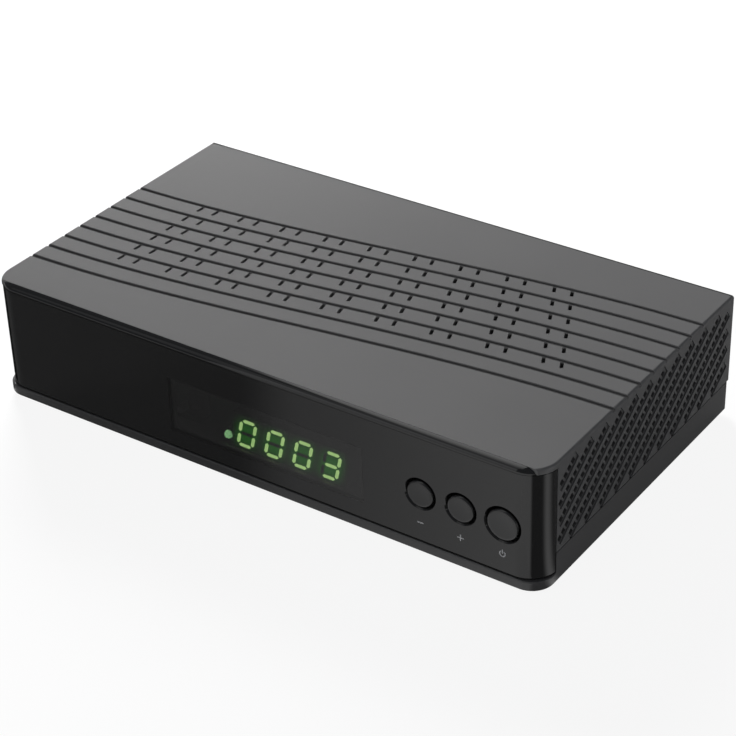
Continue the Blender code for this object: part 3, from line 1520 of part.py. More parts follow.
def all_screws():
    head_low = BASE_Z + SEAT_GAP
    screws([(x, y, head_low) for x, y in BOSS_PLACES], (0, 0, -1), CASE_SCREW_LENGTH, "case_screw")
    head_high = BOARD_TOP_Z + SEAT_GAP + SCREW_HEAD_HEIGHT
    places = [(x, y, head_high) for x, y in board_screw_places()]
    screws(places, (0, 0, 1), BOARD_SCREW_LENGTH, "board_screw")
    head_back = FRONT_BOARD_BACK_Y + SEAT_GAP + SCREW_HEAD_HEIGHT
    places = [(x, head_back, z) for x, z in panel_post_places()]
    screws(places, (0, 1, 0), BOARD_SCREW_LENGTH, "front_board_screw")


def rubber_feet():
    """Four soft discs, seated in shallow recesses under the tray."""
    foot = pillars([(0, 0)], FOOT_RADIUS, 0, BASE_Z + FOOT_RECESS - SEAT_GAP, FOOT_STEPS)
    bevel(foot, FOOT_EDGE)
    spread(foot, [(x, y, 0) for x, y in foot_places()], "rubber_foot", "foot_rubber")


def build():
    top_cover()
    bottom_shell()
    front_panel()
    display_window()
    for name, x, cap_radius, _ in BUTTONS:
        push_button(name, x, cap_radius)
        plunger(name, x)
        tact_switch(name, x)
    front_board()
    display_module()
    status_led()
    ir_receiver()
    link_header()
    main_board()
    board_parts()
    heatsink()
    tuner_can()
    aerial_connectors()
    connector_nuts()
    audio_socket()
    hdmi_socket()
    scart_socket()
    usb_socket()
    dc_jack()
    rear_panel()
    all_screws()
    rubber_feet()
    for piece in RECEIVER.objects:
        smooth(piece)


clear_scene()
RECEIVER = new_collection("satellite_receiver")
CUTTERS = new_collection("cutters")
build()
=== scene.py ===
# %% [markdown]
# # A small satellite receiver
#
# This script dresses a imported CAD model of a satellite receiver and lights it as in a
# catalogue photograph. The CAD model gives every position, so the first step loads it.
# All lengths are metres. +X is to the right seen from in front, and the front faces -Y.

# %% Load the CAD model
import json
import math

import bmesh
import bpy
from mathutils import Matrix, Vector


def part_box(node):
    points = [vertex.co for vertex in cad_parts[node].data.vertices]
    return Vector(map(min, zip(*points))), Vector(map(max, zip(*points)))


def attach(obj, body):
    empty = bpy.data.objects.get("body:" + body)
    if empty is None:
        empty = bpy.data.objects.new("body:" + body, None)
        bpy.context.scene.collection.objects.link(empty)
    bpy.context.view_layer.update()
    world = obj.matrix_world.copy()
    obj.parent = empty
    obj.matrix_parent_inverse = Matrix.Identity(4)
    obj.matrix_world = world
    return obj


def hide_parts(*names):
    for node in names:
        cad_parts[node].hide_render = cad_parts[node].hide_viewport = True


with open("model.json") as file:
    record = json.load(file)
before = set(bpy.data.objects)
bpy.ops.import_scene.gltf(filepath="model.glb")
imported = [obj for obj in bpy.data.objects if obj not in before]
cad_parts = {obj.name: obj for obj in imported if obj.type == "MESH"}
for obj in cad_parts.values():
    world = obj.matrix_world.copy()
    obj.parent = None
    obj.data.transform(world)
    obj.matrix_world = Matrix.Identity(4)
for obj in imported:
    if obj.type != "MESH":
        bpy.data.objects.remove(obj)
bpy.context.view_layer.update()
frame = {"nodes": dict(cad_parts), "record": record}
nodes = frame["nodes"]


def corners(node):
    """The lowest and the highest corner of a node's box."""
    return [Vector(corner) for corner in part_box(node)]


tray_low, tray_high = corners("bottom_shell")
cover_low, cover_high = corners("top_cover")
panel_low, panel_high = corners("front_panel")
HALF = cover_high.x
FRONT = tray_low.y
BACK = cover_high.y
TOP = cover_high.z
BASE = tray_low.z
PARTING = cover_low.z
MM = 0.001
print("nodes", len(nodes), "case", round(2 * HALF, 4), round(BACK - FRONT, 4), round(TOP - BASE, 4))

# %% [markdown]
# ## The camera
#
# The camera's place and direction were worked out from the straight edges of the case in
# the photograph, in units of the case's width. Its origin was the middle of the case's
# underside. The camera leans about two degrees, so its right-hand direction is tilted.
# Placing it by eye would do for one picture, but then no edge could be measured against it.

# %% Set the camera
CASE_WIDTH = 2 * HALF
CAMERA_PLACE = Vector((1.69227501, -2.33558485, 1.87245685))
CAMERA_AIM = Vector((-0.49305713, 0.68757504, -0.53304337)).normalized()
CAMERA_RIGHT_RISE = math.sin(math.radians(-1.626))
CAMERA_LENS = 106.2
SENSOR = 36.0


def new_object(name, data):
    """An object that is linked to the scene."""
    made = bpy.data.objects.new(name, data)
    bpy.context.scene.collection.objects.link(made)
    return made


def add_camera():
    case_middle = Vector((0, (FRONT + BACK) / 2, BASE))
    level_right = CAMERA_AIM.cross(Vector((0, 0, 1))).normalized()
    level_up = level_right.cross(CAMERA_AIM)
    lean = math.asin(CAMERA_RIGHT_RISE / level_up.z)
    right = level_right * math.cos(lean) + level_up * math.sin(lean)
    up = right.cross(CAMERA_AIM)
    data = bpy.data.cameras.new("camera")
    data.sensor_width = SENSOR
    data.lens = CAMERA_LENS
    data.clip_start = 0.01
    camera = new_object("camera", data)
    turn = Matrix((right, up, -CAMERA_AIM)).transposed().to_4x4()
    camera.matrix_world = Matrix.Translation(case_middle + CAMERA_PLACE * CASE_WIDTH) @ turn
    bpy.context.scene.camera = camera
    return camera


camera = add_camera()
print("camera at", [round(value, 4) for value in camera.matrix_world.translation])

# %% [markdown]
# ## Tools for modelling
#
# Each piece starts as a simple body and is then bevelled, cut and joined, much as a model
# maker works. Shaping by hand would do too, but then nothing would follow the CAD model's
# numbers. These tools make the plain bodies: boxes, cylinders and sheets.

# %% Tools that make bodies


def pick(piece):
    """Selects one object alone and makes it active."""
    bpy.ops.object.select_all(action="DESELECT")
    piece.select_set(True)
    bpy.context.view_layer.objects.active = piece


def apply_modifier(piece, change):
    pick(piece)
    bpy.ops.object.modifier_apply(modifier=change.name)
    return piece


def add_box(name, low, high):
    low = Vector(low)
    high = Vector(high)
    bpy.ops.object.select_all(action="DESELECT")
    bpy.ops.mesh.primitive_cube_add(size=1, location=(low + high) / 2, scale=high - low)
    piece = bpy.context.object
    bpy.ops.object.transform_apply(location=True, rotation=True, scale=True)
    piece.name = name
    return piece


def add_round(name, start, end, radius, steps=64, end_radius=None):
    """A cylinder, or a cone where end_radius differs, between two points."""
    start = Vector(start)
    run = Vector(end) - start
    bpy.ops.object.select_all(action="DESELECT")
    bpy.ops.mesh.primitive_cone_add(
        vertices=steps,
        radius1=radius,
        radius2=radius if end_radius is None else end_radius,
        depth=run.length,
        location=start + run / 2,
        rotation=run.to_track_quat("Z", "Y").to_euler(),
    )
    piece = bpy.context.object
    bpy.ops.object.transform_apply(location=True, rotation=True, scale=True)
    piece.name = name
    return piece


def add_sheet(name, size=1):
    """A flat square on the ground, with its middle at the origin."""
    bpy.ops.object.select_all(action="DESELECT")
    bpy.ops.mesh.primitive_plane_add(size=size)
    sheet = bpy.context.object
    sheet.name = name
    return sheet


print("a millimetre is", MM, "of the scene's units")

# %% [markdown]
# Round pieces with a stepped outline are turned, as on a lathe: half an outline is swept
# round an axis. Cylinders could be stacked and joined instead, but an outline shows the
# whole shape in one list of points.

# %% Tools for turned bodies
MERGE = 1e-6


def add_outline(name, profile, ring=False):
    """A line of edges through points of (distance from the Z axis, height along it)."""
    mesh = bpy.data.meshes.new(name)
    piece = new_object(name, mesh)
    shape = bmesh.new()
    points = [shape.verts.new((distance, 0, height)) for distance, height in profile]
    for first, second in zip(points, points[1:] + points[:1] if ring else points[1:]):
        shape.edges.new((first, second))
    shape.to_mesh(mesh)
    shape.free()
    return piece


def sweep_round(piece, steps, rise=0.0, turns=1):
    """Sweeps an outline round the Z axis, and up by a rise with each turn."""
    sweep = piece.modifiers.new("sweep", "SCREW")
    sweep.screw_offset = rise
    sweep.iterations = turns
    sweep.steps = steps
    sweep.render_steps = steps
    sweep.use_merge_vertices = True
    sweep.merge_threshold = MERGE
    return apply_modifier(piece, sweep)


def close_up(piece):
    """Merges the points that meet, and turns all faces outwards."""
    pick(piece)
    bpy.ops.object.mode_set(mode="EDIT")
    bpy.ops.mesh.select_all(action="SELECT")
    bpy.ops.mesh.remove_doubles(threshold=MERGE)
    bpy.ops.mesh.normals_make_consistent(inside=False)
    bpy.ops.object.mode_set(mode="OBJECT")
    return piece


def add_turned(name, profile, place, steps=96, ring=False):
    """A closed body turned from an outline, round an axis that runs from its place along +Y."""
    piece = close_up(sweep_round(add_outline(name, profile, ring), steps))
    turn = Vector((0, 1, 0)).to_track_quat("Z", "Y").to_matrix().to_4x4()
    piece.data.transform(Matrix.Translation(place) @ turn)
    return piece


print("points nearer than", MERGE, "m are merged")

# %% [markdown]
# These tools change the bodies. Edges are chosen in code by their place and direction, so
# that the bevels find the same edges each run. A mouse would be quicker once, and slower
# each time a size changes. The last tool gives a piece its finish and its body.

# %% Tools that change bodies
CREASE = 30


def bevel_edges(piece, wanted, width, steps=4):
    """Bevels the edges whose middle and direction pass the test."""
    pick(piece)
    bpy.ops.object.mode_set(mode="EDIT")
    bpy.ops.mesh.select_mode(type="EDGE")
    bpy.ops.mesh.select_all(action="DESELECT")
    shape = bmesh.from_edit_mesh(piece.data)
    for edge in shape.edges:
        first, second = (vert.co for vert in edge.verts)
        edge.select_set(bool(wanted((first + second) / 2, (second - first).normalized())))
    bmesh.update_edit_mesh(piece.data)
    bpy.ops.mesh.bevel(offset=width, offset_type="OFFSET", segments=steps, affect="EDGES")
    bpy.ops.object.mode_set(mode="OBJECT")
    return piece


def combine(piece, other, operation="DIFFERENCE"):
    """A Boolean that is applied at once; the other piece is used up."""
    change = piece.modifiers.new("boolean", "BOOLEAN")
    change.operation = operation
    change.solver = "EXACT"
    change.object = other
    apply_modifier(piece, change)
    bpy.data.objects.remove(other)
    return piece


def cut_box(piece, low, high):
    """Takes the room of a box out of a piece."""
    return combine(piece, add_box("cutter", low, high))


def join(pieces, name):
    """Puts several pieces into one object."""
    bpy.ops.object.select_all(action="DESELECT")
    for piece in pieces:
        piece.select_set(True)
    bpy.context.view_layer.objects.active = pieces[0]
    if len(pieces) > 1:
        bpy.ops.object.join()
    pieces[0].name = name
    return pieces[0]


def stamp(piece, places, name):
    """Copies a piece to each place, a matrix, and joins the copies."""
    copies = []
    for place in places:
        twin = piece.copy()
        twin.data = piece.data.copy()
        bpy.context.scene.collection.objects.link(twin)
        twin.data.transform(place)
        copies.append(twin)
    bpy.data.objects.remove(piece)
    return join(copies, name)


def soften(piece, angle=CREASE, even=True):
    """Smooth shading with sharp creases kept, and flat faces kept flat."""
    pick(piece)
    bpy.ops.object.shade_smooth_by_angle(angle=math.radians(angle))
    if even:
        change = piece.modifiers.new("even", "WEIGHTED_NORMAL")
        change.keep_sharp = True
        change.weight = 100
        apply_modifier(piece, change)
    return piece


def dress(piece, finish, *replaced, slot=None, body="receiver"):
    """Gives a piece its finish and its body, and hides the CAD parts it replaces. The slot argument is not
    used.
    """
    piece.data.materials.clear()
    piece.data.materials.append(FINISHES[finish])
    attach(piece, body)
    if replaced:
        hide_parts(*replaced)
    return piece


print("edges that turn more than", CREASE, "degrees stay sharp")

# %% [markdown]
# ## Materials
#
# Moulded plastic and brushed metal are never one flat colour: they have a fine grain and a
# slow drift in tone. A picture of the surface could give that, but noise in object space
# needs no file and no seams. One shader group makes it as a tone and a normal, so that each
# material only adds its own numbers.

# %% Node tools


def object_place(tree):
    """A point's place in object space, which stays on a piece that moves."""
    return tree.nodes.new("ShaderNodeTexCoord").outputs["Object"]


def object_noise(tree, scale=1.0, detail=2):
    noise = tree.nodes.new("ShaderNodeTexNoise")
    noise.inputs["Scale"].default_value = scale
    noise.inputs["Detail"].default_value = detail
    tree.links.new(object_place(tree), noise.inputs["Vector"])
    return noise


def ramp_between(tree, source, low, high, start, end):
    """A value that goes smoothly from start at low to end at high."""
    ramp = tree.nodes.new("ShaderNodeMapRange")
    ramp.interpolation_type = "SMOOTHSTEP"
    limits = {"From Min": low, "From Max": high, "To Min": start, "To Max": end}
    for label, value in limits.items():
        ramp.inputs[label].default_value = value
    tree.links.new(source, ramp.inputs["Value"])
    return ramp.outputs["Result"]


def reckon(tree, first, second, sign="ADD"):
    """The sum, or another sign's result, of two values."""
    total = tree.nodes.new("ShaderNodeMath")
    total.operation = sign
    tree.links.new(first, total.inputs[0])
    tree.links.new(second, total.inputs[1])
    return total.outputs["Value"]


def mix_colours(tree, share, first, second):
    """A colour that goes from the first to the second as the share goes from 0 to 1."""
    mix = tree.nodes.new("ShaderNodeMix")
    mix.data_type = "RGBA"
    mix.inputs["A"].default_value = (*first, 1)
    mix.inputs["B"].default_value = (*second, 1)
    tree.links.new(share, mix.inputs["Factor"])
    return mix.outputs["Result"]


print("node groups so far", len(bpy.data.node_groups))

# %% [markdown]
# The grain is one group, so that a change in it reaches every finish at once. Each finish
# could have its own noise nodes, but then all those copies would have to be kept alike.
# The relief is at most three hundredths of a millimetre high, as on moulded plastic.

# %% Shader group for the grain
GRAIN_HEIGHT = 0.03 * MM


def grain_group():
    """Object-space noise: a slow tone, and a fine relief as a normal."""
    group = bpy.data.node_groups.new("Grain", "ShaderNodeTree")
    for label in ("Fine scale", "Slow scale", "Relief"):
        group.interface.new_socket(label, in_out="INPUT", socket_type="NodeSocketFloat")
    for label, kind in (("Tone", "NodeSocketFloat"), ("Normal", "NodeSocketVector")):
        group.interface.new_socket(label, in_out="OUTPUT", socket_type=kind)
    start = group.nodes.new("NodeGroupInput")
    end = group.nodes.new("NodeGroupOutput")
    slow = object_noise(group, detail=3)
    fine = object_noise(group)
    bump = group.nodes.new("ShaderNodeBump")
    bump.inputs["Distance"].default_value = GRAIN_HEIGHT
    link = group.links.new
    link(start.outputs["Slow scale"], slow.inputs["Scale"])
    link(start.outputs["Fine scale"], fine.inputs["Scale"])
    link(start.outputs["Relief"], bump.inputs["Strength"])
    link(fine.outputs["Fac"], bump.inputs["Height"])
    link(slow.outputs["Fac"], end.inputs["Tone"])
    link(bump.outputs["Normal"], end.inputs["Normal"])
    return group


GRAIN = grain_group()
print("grain group nodes", len(GRAIN.nodes))

# %% [markdown]
# Each finish is two close tones and a roughness. The cover's plastic is a matt dark grey,
# the panel's is black and polished, and the lens is smoked and lets the digits through. One
# flat colour would do from afar, but up close it looks like paint. The group's tone mixes
# the two colours and moves the roughness a little.

# %% Finish maker
FINISHES = {}


def new_material(name):
    """A material with nodes, its tree, and the Principled shader in it."""
    made = bpy.data.materials.new(name)
    made.use_nodes = True
    return made, made.node_tree, made.node_tree.nodes["Principled BSDF"]


def surface(
    name,
    dark,
    light,
    rough,
    metallic=0.0,
    fine=2600.0,
    slow=30.0,
    relief=0.1,
    rough_spread=0.04,
    clearness=0.0,
):
    """A Principled material whose colour and roughness wander a little over the surface."""
    made, tree, shader = new_material(name)
    shader.inputs["Metallic"].default_value = metallic
    shader.inputs["IOR"].default_value = 1.5
    shader.inputs["Transmission Weight"].default_value = clearness
    grain = tree.nodes.new("ShaderNodeGroup")
    grain.node_tree = GRAIN
    grain.inputs["Fine scale"].default_value = fine
    grain.inputs["Slow scale"].default_value = slow
    grain.inputs["Relief"].default_value = relief
    tone = grain.outputs["Tone"]
    spread = tree.nodes.new("ShaderNodeMapRange")
    spread.inputs["To Min"].default_value = max(rough - rough_spread, 0)
    spread.inputs["To Max"].default_value = rough + rough_spread
    link = tree.links.new
    link(mix_colours(tree, tone, dark, light), shader.inputs["Base Color"])
    link(tone, spread.inputs["Value"])
    link(spread.outputs["Result"], shader.inputs["Roughness"])
    link(grain.outputs["Normal"], shader.inputs["Normal"])
    FINISHES[name] = made
    return made


def grey(value, warm=0.0):
    return (value * (1 + warm), value, value * (1 - warm))


print("finishes so far", len(FINISHES))

# %% [markdown]
# Plastics and rubber are dark greys that differ mostly in roughness. Metals are light tones
# with the metallic setting at 1, and the board and the insulators have colours of their
# own. The panel's and the lens's relief is kept very low, because polish shows it.

# %% Finishes
surface("cover_plastic", grey(0.098, 0.01), grey(0.11, 0.01), 0.42, fine=3200, relief=0.25)
surface("tray_plastic", grey(0.066, 0.01), grey(0.076, 0.01), 0.3, relief=0.15)
surface("gloss_black", grey(0.006), grey(0.009), 0.06, fine=900, relief=0.006, rough_spread=0.015)
surface("smoked_lens", grey(0.1), grey(0.11), 0.05, fine=900, relief=0.004, rough_spread=0.01, clearness=1)
surface("button_black", grey(0.014), grey(0.018), 0.2, relief=0.05)
surface("print_white", grey(0.62), grey(0.72), 0.5)
surface("display_grey", grey(0.012), grey(0.016), 0.5)
surface("segment_dark", grey(0.03), grey(0.035), 0.4)
surface("board_green", (0.012, 0.075, 0.03), (0.018, 0.1, 0.04), 0.35, slow=400)
surface("switch_black", grey(0.02), grey(0.03), 0.5)
surface("plunger_brown", (0.13, 0.06, 0.03), (0.17, 0.08, 0.04), 0.45)
surface("eye_black", (0.02, 0.008, 0.012), (0.03, 0.012, 0.018), 0.1, relief=0.01)
surface("tinned_steel", grey(0.55), grey(0.64), 0.3, metallic=1.0, slow=250, relief=0.06)
surface("nickel", grey(0.58, 0.03), grey(0.68, 0.03), 0.2, metallic=1.0, relief=0.02)
surface("socket_black", grey(0.016), grey(0.022), 0.45)
surface("chip_black", grey(0.018), grey(0.026), 0.55)
surface("heatsink_metal", grey(0.3), grey(0.38), 0.38, metallic=1.0, slow=500, relief=0.05)
surface("sleeve_black", (0.015, 0.017, 0.025), (0.022, 0.025, 0.035), 0.3)
surface("ferrite", grey(0.04), grey(0.06), 0.7, slow=900)
surface("plate_black", grey(0.02), grey(0.028), 0.48, fine=4200, relief=0.35)
surface("screw_zinc", grey(0.5), grey(0.6), 0.32, metallic=1.0, slow=600)
surface("foot_rubber", grey(0.014), grey(0.02), 0.85, relief=0.3)
surface("contact_gold", (0.75, 0.52, 0.2), (0.85, 0.62, 0.28), 0.25, metallic=1.0, slow=800)
surface("insulator_white", grey(0.65, 0.02), grey(0.75, 0.02), 0.5)
surface("insulator_orange", (0.6, 0.16, 0.02), (0.7, 0.2, 0.03), 0.45)
print("materials", len(bpy.data.materials))

# %% [markdown]
# The digits and the round lamp shine. Their light is a little uneven, as a diffused LED's
# is, so noise mixes two close greens. The light also spreads in the display's face. Blur
# after rendering would give that, but it wouldn't be part of the object. Plates that glow
# and fade towards their edges give the same look from any side.

# %% Lit materials


def shine(made, colour, strength):
    """Gives a finish light of its own, in a colour that comes from its nodes."""
    shader = made.node_tree.nodes["Principled BSDF"]
    made.node_tree.links.new(colour, shader.inputs["Emission Color"])
    shader.inputs["Emission Strength"].default_value = strength
    return made


def fading_glow(name, colour, strength):
    """Shines in the middle of each plate and fades to nothing at the plate's edges."""
    made = surface(name, grey(0.01), grey(0.014), 0.5)
    tree = made.node_tree
    place = tree.nodes.new("ShaderNodeTexCoord")
    apart = tree.nodes.new("ShaderNodeSeparateXYZ")
    tree.links.new(place.outputs["UV"], apart.inputs["Vector"])
    masks = []
    for side in ("X", "Y"):
        rise = ramp_between(tree, apart.outputs[side], 0, 0.4, 0, 1)
        fall = ramp_between(tree, apart.outputs[side], 0.6, 1, 1, 0)
        masks.append(reckon(tree, rise, fall, "MULTIPLY"))
    mask = reckon(tree, *masks, "MULTIPLY")
    tree.links.new(mask, tree.nodes["Principled BSDF"].inputs["Alpha"])
    return shine(made, mix_colours(tree, mask, grey(0), colour), strength)


def lit(name, edge, middle, strength, scale):
    """Shines in two close tones that noise mixes."""
    made = surface(name, edge, middle, 0.4)
    noise = object_noise(made.node_tree, scale)
    colour = mix_colours(made.node_tree, noise.outputs["Fac"], edge, middle)
    return shine(made, colour, strength)


lit("segment_lit", (0.38, 0.72, 0.2), (0.7, 0.98, 0.4), 5.2, 700)
fading_glow("glow_green", (0.03, 0.6, 0.01), 0.9)
lit("lamp_green", (0.3, 0.72, 0.28), (0.5, 0.95, 0.46), 4.0, 900)
print("materials with the lit ones", len(bpy.data.materials))

# %% [markdown]
# ## The top cover
#
# The cover is a box with rounded corners, hollowed from below. It could be built wall by
# wall, but a bevelled box that is cut keeps every wall's thickness. Its roof carries eight
# grooves, each an S from one side to the other, and pairs of short slots that hang from
# the first six. Both side walls carry slanted ribs with rows of small holes between them.

# %% Cover
CORNER = 9 * MM
SMALL = 0.01 * MM
REAR_CORNER = 0.3 * MM
WALL = 2 * MM
LIP = 1.8 * MM
PANEL_RETURN = 8.3 * MM
ROOF_ROUND = 0.9 * MM
RIM_DEPTH = 2.4 * MM
RIM_SEAM = 0.1 * MM
SEAM_ROUND = 0.15 * MM
DOOR_MARGIN = 3 * MM
DOOR_LINTEL = 2.5 * MM
OVER = 2 * MM
STRAIGHT = 0.99
LEVEL = 0.01


def upright(spot, way):
    """True for an edge that runs up and down."""
    return abs(way.z) > STRAIGHT


def lies_level(way):
    """True for an edge that lies level."""
    return abs(way.z) < LEVEL


def rounded_case(name, low, high, corner, rear_corner, steps=24):
    """A box with its front corners rounded in plan, and its rear ones a little."""
    piece = add_box(name, low, high)
    middle = (low[1] + high[1]) / 2
    bevel_edges(piece, lambda spot, way: upright(spot, way) and spot.y < middle, corner, steps)
    if rear_corner:
        rear = high[1] - MM / 10
        bevel_edges(piece, lambda spot, way: upright(spot, way) and spot.y > rear, rear_corner, 4)
    return piece


def cut_across(piece, near, far, low, high):
    """Cuts between two depths and two heights, over the whole width."""
    return cut_box(piece, (-HALF - OVER, near, low), (HALF + OVER, far, high))


def cover_body():
    low = (-HALF, FRONT, PARTING)
    high = (HALF, BACK, TOP)
    body = rounded_case("cover", low, high, CORNER, REAR_CORNER)
    bevel_edges(body, lambda spot, way: lies_level(way) and spot.z > TOP - MM / 10, ROOF_ROUND, 6)
    inner_low = (-HALF + WALL, FRONT + WALL, PARTING - OVER)
    inner_high = (HALF - WALL, BACK - WALL, TOP - WALL)
    combine(body, rounded_case("hollow", inner_low, inner_high, CORNER - WALL, 0))
    cut_across(body, FRONT - OVER, FRONT + PANEL_RETURN, PARTING - OVER, TOP - LIP)
    cut_across(body, FRONT - OVER, FRONT + RIM_DEPTH, TOP - WALL - OVER, TOP + OVER)
    seam = FRONT + RIM_DEPTH + SMALL

    def seam_edge(spot, way):
        return abs(way.x) > STRAIGHT and spot.z > TOP - SMALL and spot.y < seam

    bevel_edges(body, seam_edge, SEAM_ROUND, 2)
    door_half = HALF - WALL - DOOR_MARGIN
    door_low = (-door_half, BACK - WALL - OVER, PARTING - OVER)
    cut_box(body, door_low, (door_half, BACK + OVER, TOP - WALL - DOOR_LINTEL))
    return body


cover = cover_body()
print("cover body faces", len(cover.data.polygons))

# %% [markdown]
# A groove is a shallow channel that runs in an S across the roof. It could be drawn with a
# bump, but the real ones cast shade, so each is cut with a solid wall. The wall's outline
# is a narrow slot with a flared mouth, so that the groove's edges catch a thin line of light.

# %% Outline of a groove
GROOVE_WIDTH = 1.25 * MM
GROOVE_DEPTH = 1.0 * MM
GROOVE_FLARE = 0.22 * MM
GROOVE_ROUND = 0.3 * MM


def groove_profile():
    """The outline that is swept along the curve."""
    half = GROOVE_WIDTH / 2
    mouth = half + GROOVE_FLARE
    right = [
        (half - GROOVE_ROUND, -GROOVE_DEPTH),
        (half, -GROOVE_DEPTH + GROOVE_ROUND),
        (half, -GROOVE_FLARE),
        (mouth, MM / 50),
        (mouth, MM / 2),
    ]
    left = [(-x, y) for x, y in reversed(right)]
    points = left[-1:] + right + left[:-1]
    data = bpy.data.curves.new("groove_profile", "CURVE")
    data.dimensions = "2D"
    spline = data.splines.new("POLY")
    spline.points.add(len(points) - 1)
    for point, (x, y) in zip(spline.points, points):
        point.co = (x, y, 0, 1)
    spline.use_cyclic_u = True
    return new_object("groove_profile", data)


print("groove", round(GROOVE_WIDTH, 5), "m wide,", GROOVE_DEPTH, "m deep")

# %% [markdown]
# The wall follows a Bezier curve from side to side. Its handles lie level and reach a third
# of the way, which gives an even S that a short formula describes. A row of short straight
# pieces would show its corners. One wall is copied for all eight grooves.

# %% Cut the grooves
GROOVES = 8
GROOVE_PITCH = 7.57 * MM
GROOVE_RISE = 19.6 * MM
FIRST_GROOVE = BACK - 39.9 * MM


def groove_wall():
    """One swept groove, as a closed mesh with its left end on the first groove's line."""
    profile = groove_profile()
    bpy.ops.object.select_all(action="DESELECT")
    bpy.ops.curve.primitive_bezier_curve_add(location=(0, 0, 0))
    wall = bpy.context.object
    wall.name = "groove_wall"
    reach = HALF + OVER
    third = 2 * reach / 3
    start = FIRST_GROOVE
    points = wall.data.splines[0].bezier_points
    for point, x, y in zip(points, (-reach, reach), (start, start + GROOVE_RISE)):
        point.handle_left_type = "FREE"
        point.handle_right_type = "FREE"
        point.co = (x, y, TOP)
        point.handle_left = (x - third, y, TOP)
        point.handle_right = (x + third, y, TOP)
    wall.data.dimensions = "3D"
    wall.data.twist_mode = "Z_UP"
    wall.data.resolution_u = 48
    wall.data.bevel_mode = "OBJECT"
    wall.data.bevel_object = profile
    wall.data.use_fill_caps = True
    pick(wall)
    bpy.ops.object.convert(target="MESH")
    wall = bpy.context.object
    bpy.data.objects.remove(profile)
    return close_up(wall)


wall = groove_wall()
heights = [vert.co.z - TOP for vert in wall.data.vertices]
print("groove wall from", round(min(heights), 5), "to", round(max(heights), 5))
shifts = [Matrix.Translation((0, -index * GROOVE_PITCH, 0)) for index in range(GROOVES)]
combine(cover, stamp(wall, shifts, "groove_walls"))
print("cover faces after grooves", len(cover.data.polygons))

# %% [markdown]
# The slots let the warm air out. They fan out: their columns stand further apart at the
# front than at the rear, and each slot points along its own column. One slot is modelled
# and stamped at each place, which keeps them all alike.

# %% Cut the roof slots
VENT_ROWS = 6
VENT_COLUMNS = 9
VENT_WIDTH = 1.1 * MM
VENT_LENGTH = 3.4 * MM
VENT_PAIR = 5.8 * MM
REAR_PITCH = 15.3 * MM
FORE_PITCH = 17.7 * MM
REAR_MIDDLE = -7.7 * MM
FORE_MIDDLE = 0.4 * MM


def groove_height(index, x):
    """The Y of a groove's middle line at some X."""
    along = (x + HALF) / (2 * HALF)
    start = FIRST_GROOVE - index * GROOVE_PITCH
    return start + GROOVE_RISE * (3 * along**2 - 2 * along**3)


def vent_x(row, column):
    share = row / (VENT_ROWS - 1)
    middle = REAR_MIDDLE + (FORE_MIDDLE - REAR_MIDDLE) * share
    pitch = REAR_PITCH + (FORE_PITCH - REAR_PITCH) * share
    return middle + pitch * (column - (VENT_COLUMNS - 1) / 2)


def vent_places():
    places = []
    for row in range(VENT_ROWS):
        for column in range(VENT_COLUMNS):
            drift = vent_x(VENT_ROWS - 1, column) - vent_x(0, column)
            lean = math.atan2(drift, (VENT_ROWS - 1) * GROOVE_PITCH)
            for side in (-1, 1):
                x = vent_x(row, column) + side * VENT_PAIR / 2
                spot = Matrix.Translation((x, groove_height(row, x), TOP))
                places.append(spot @ Matrix.Rotation(lean, 4, "Z"))
    return places


slot_low = (-VENT_WIDTH / 2, -VENT_LENGTH - GROOVE_WIDTH / 2, -WALL - OVER)
slot = add_box("slot", slot_low, (VENT_WIDTH / 2, 0, OVER))
bevel_edges(slot, lambda spot, way: upright(spot, way) and spot.y < -MM, 0.3 * MM, 3)
combine(cover, stamp(slot, vent_places(), "slots"))
print("cover faces after slots", len(cover.data.polygons))

# %% [markdown]
# The lattice of a side wall is two layers of cuts. Long shallow channels leave the slanted
# ribs standing, and a row of small holes goes through the wall along each channel. Ribs
# could be laid on the wall instead, but cuts leave the ribs' tops in the wall's own plane,
# as a mould does. First the channels' middle lines are worked out.

# %% Lines of the lattice
SLOPE = math.radians(35)
RIB_PITCH = 4.85 * MM
HOLE_PITCH = 2.33 * MM
LATTICE_ROWS = 12
FIELD_FRONT = FRONT + 9.3 * MM
FIELD_BACK = BACK - 3.2 * MM
FIELD_LOW = PARTING + 0.9 * MM
FIELD_HIGH = TOP - 3.0 * MM
ALONG = Vector((0, math.cos(SLOPE), math.sin(SLOPE)))
ACROSS = Vector((0, -math.sin(SLOPE), math.cos(SLOPE)))


def channel_span(centre):
    """Where a channel's middle line enters and leaves the field, along its slope."""
    first = max((FIELD_FRONT - centre.y) / ALONG.y, (FIELD_LOW - centre.z) / ALONG.z)
    last = min((FIELD_BACK - centre.y) / ALONG.y, (FIELD_HIGH - centre.z) / ALONG.z)
    return first, last


def lattice_lines():
    """Each channel as its middle point and its two ends along the slope."""
    middle = Vector((0, (FIELD_FRONT + FIELD_BACK) / 2, (FIELD_LOW + FIELD_HIGH) / 2))
    lines = []
    for row in range(-LATTICE_ROWS, LATTICE_ROWS + 1):
        centre = middle + ACROSS * row * RIB_PITCH
        first, last = channel_span(centre)
        if last - first > 2 * HOLE_PITCH:
            lines.append((centre, first, last))
    return lines


lattice = lattice_lines()
print("channels", len(lattice))

# %% [markdown]
# Each line then gets one channel as long as the line, and as many holes as it has room for.
# Both are stamped from one box each and turned to the slope. A pattern in the material
# would be lighter, but light has to come through these holes.

# %% Cut the side lattice
CHANNEL_WIDTH = 3.3 * MM
CHANNEL_DEPTH = 0.45 * MM
HOLE_LENGTH = 1.6 * MM
HOLE_WIDTH = 2.5 * MM


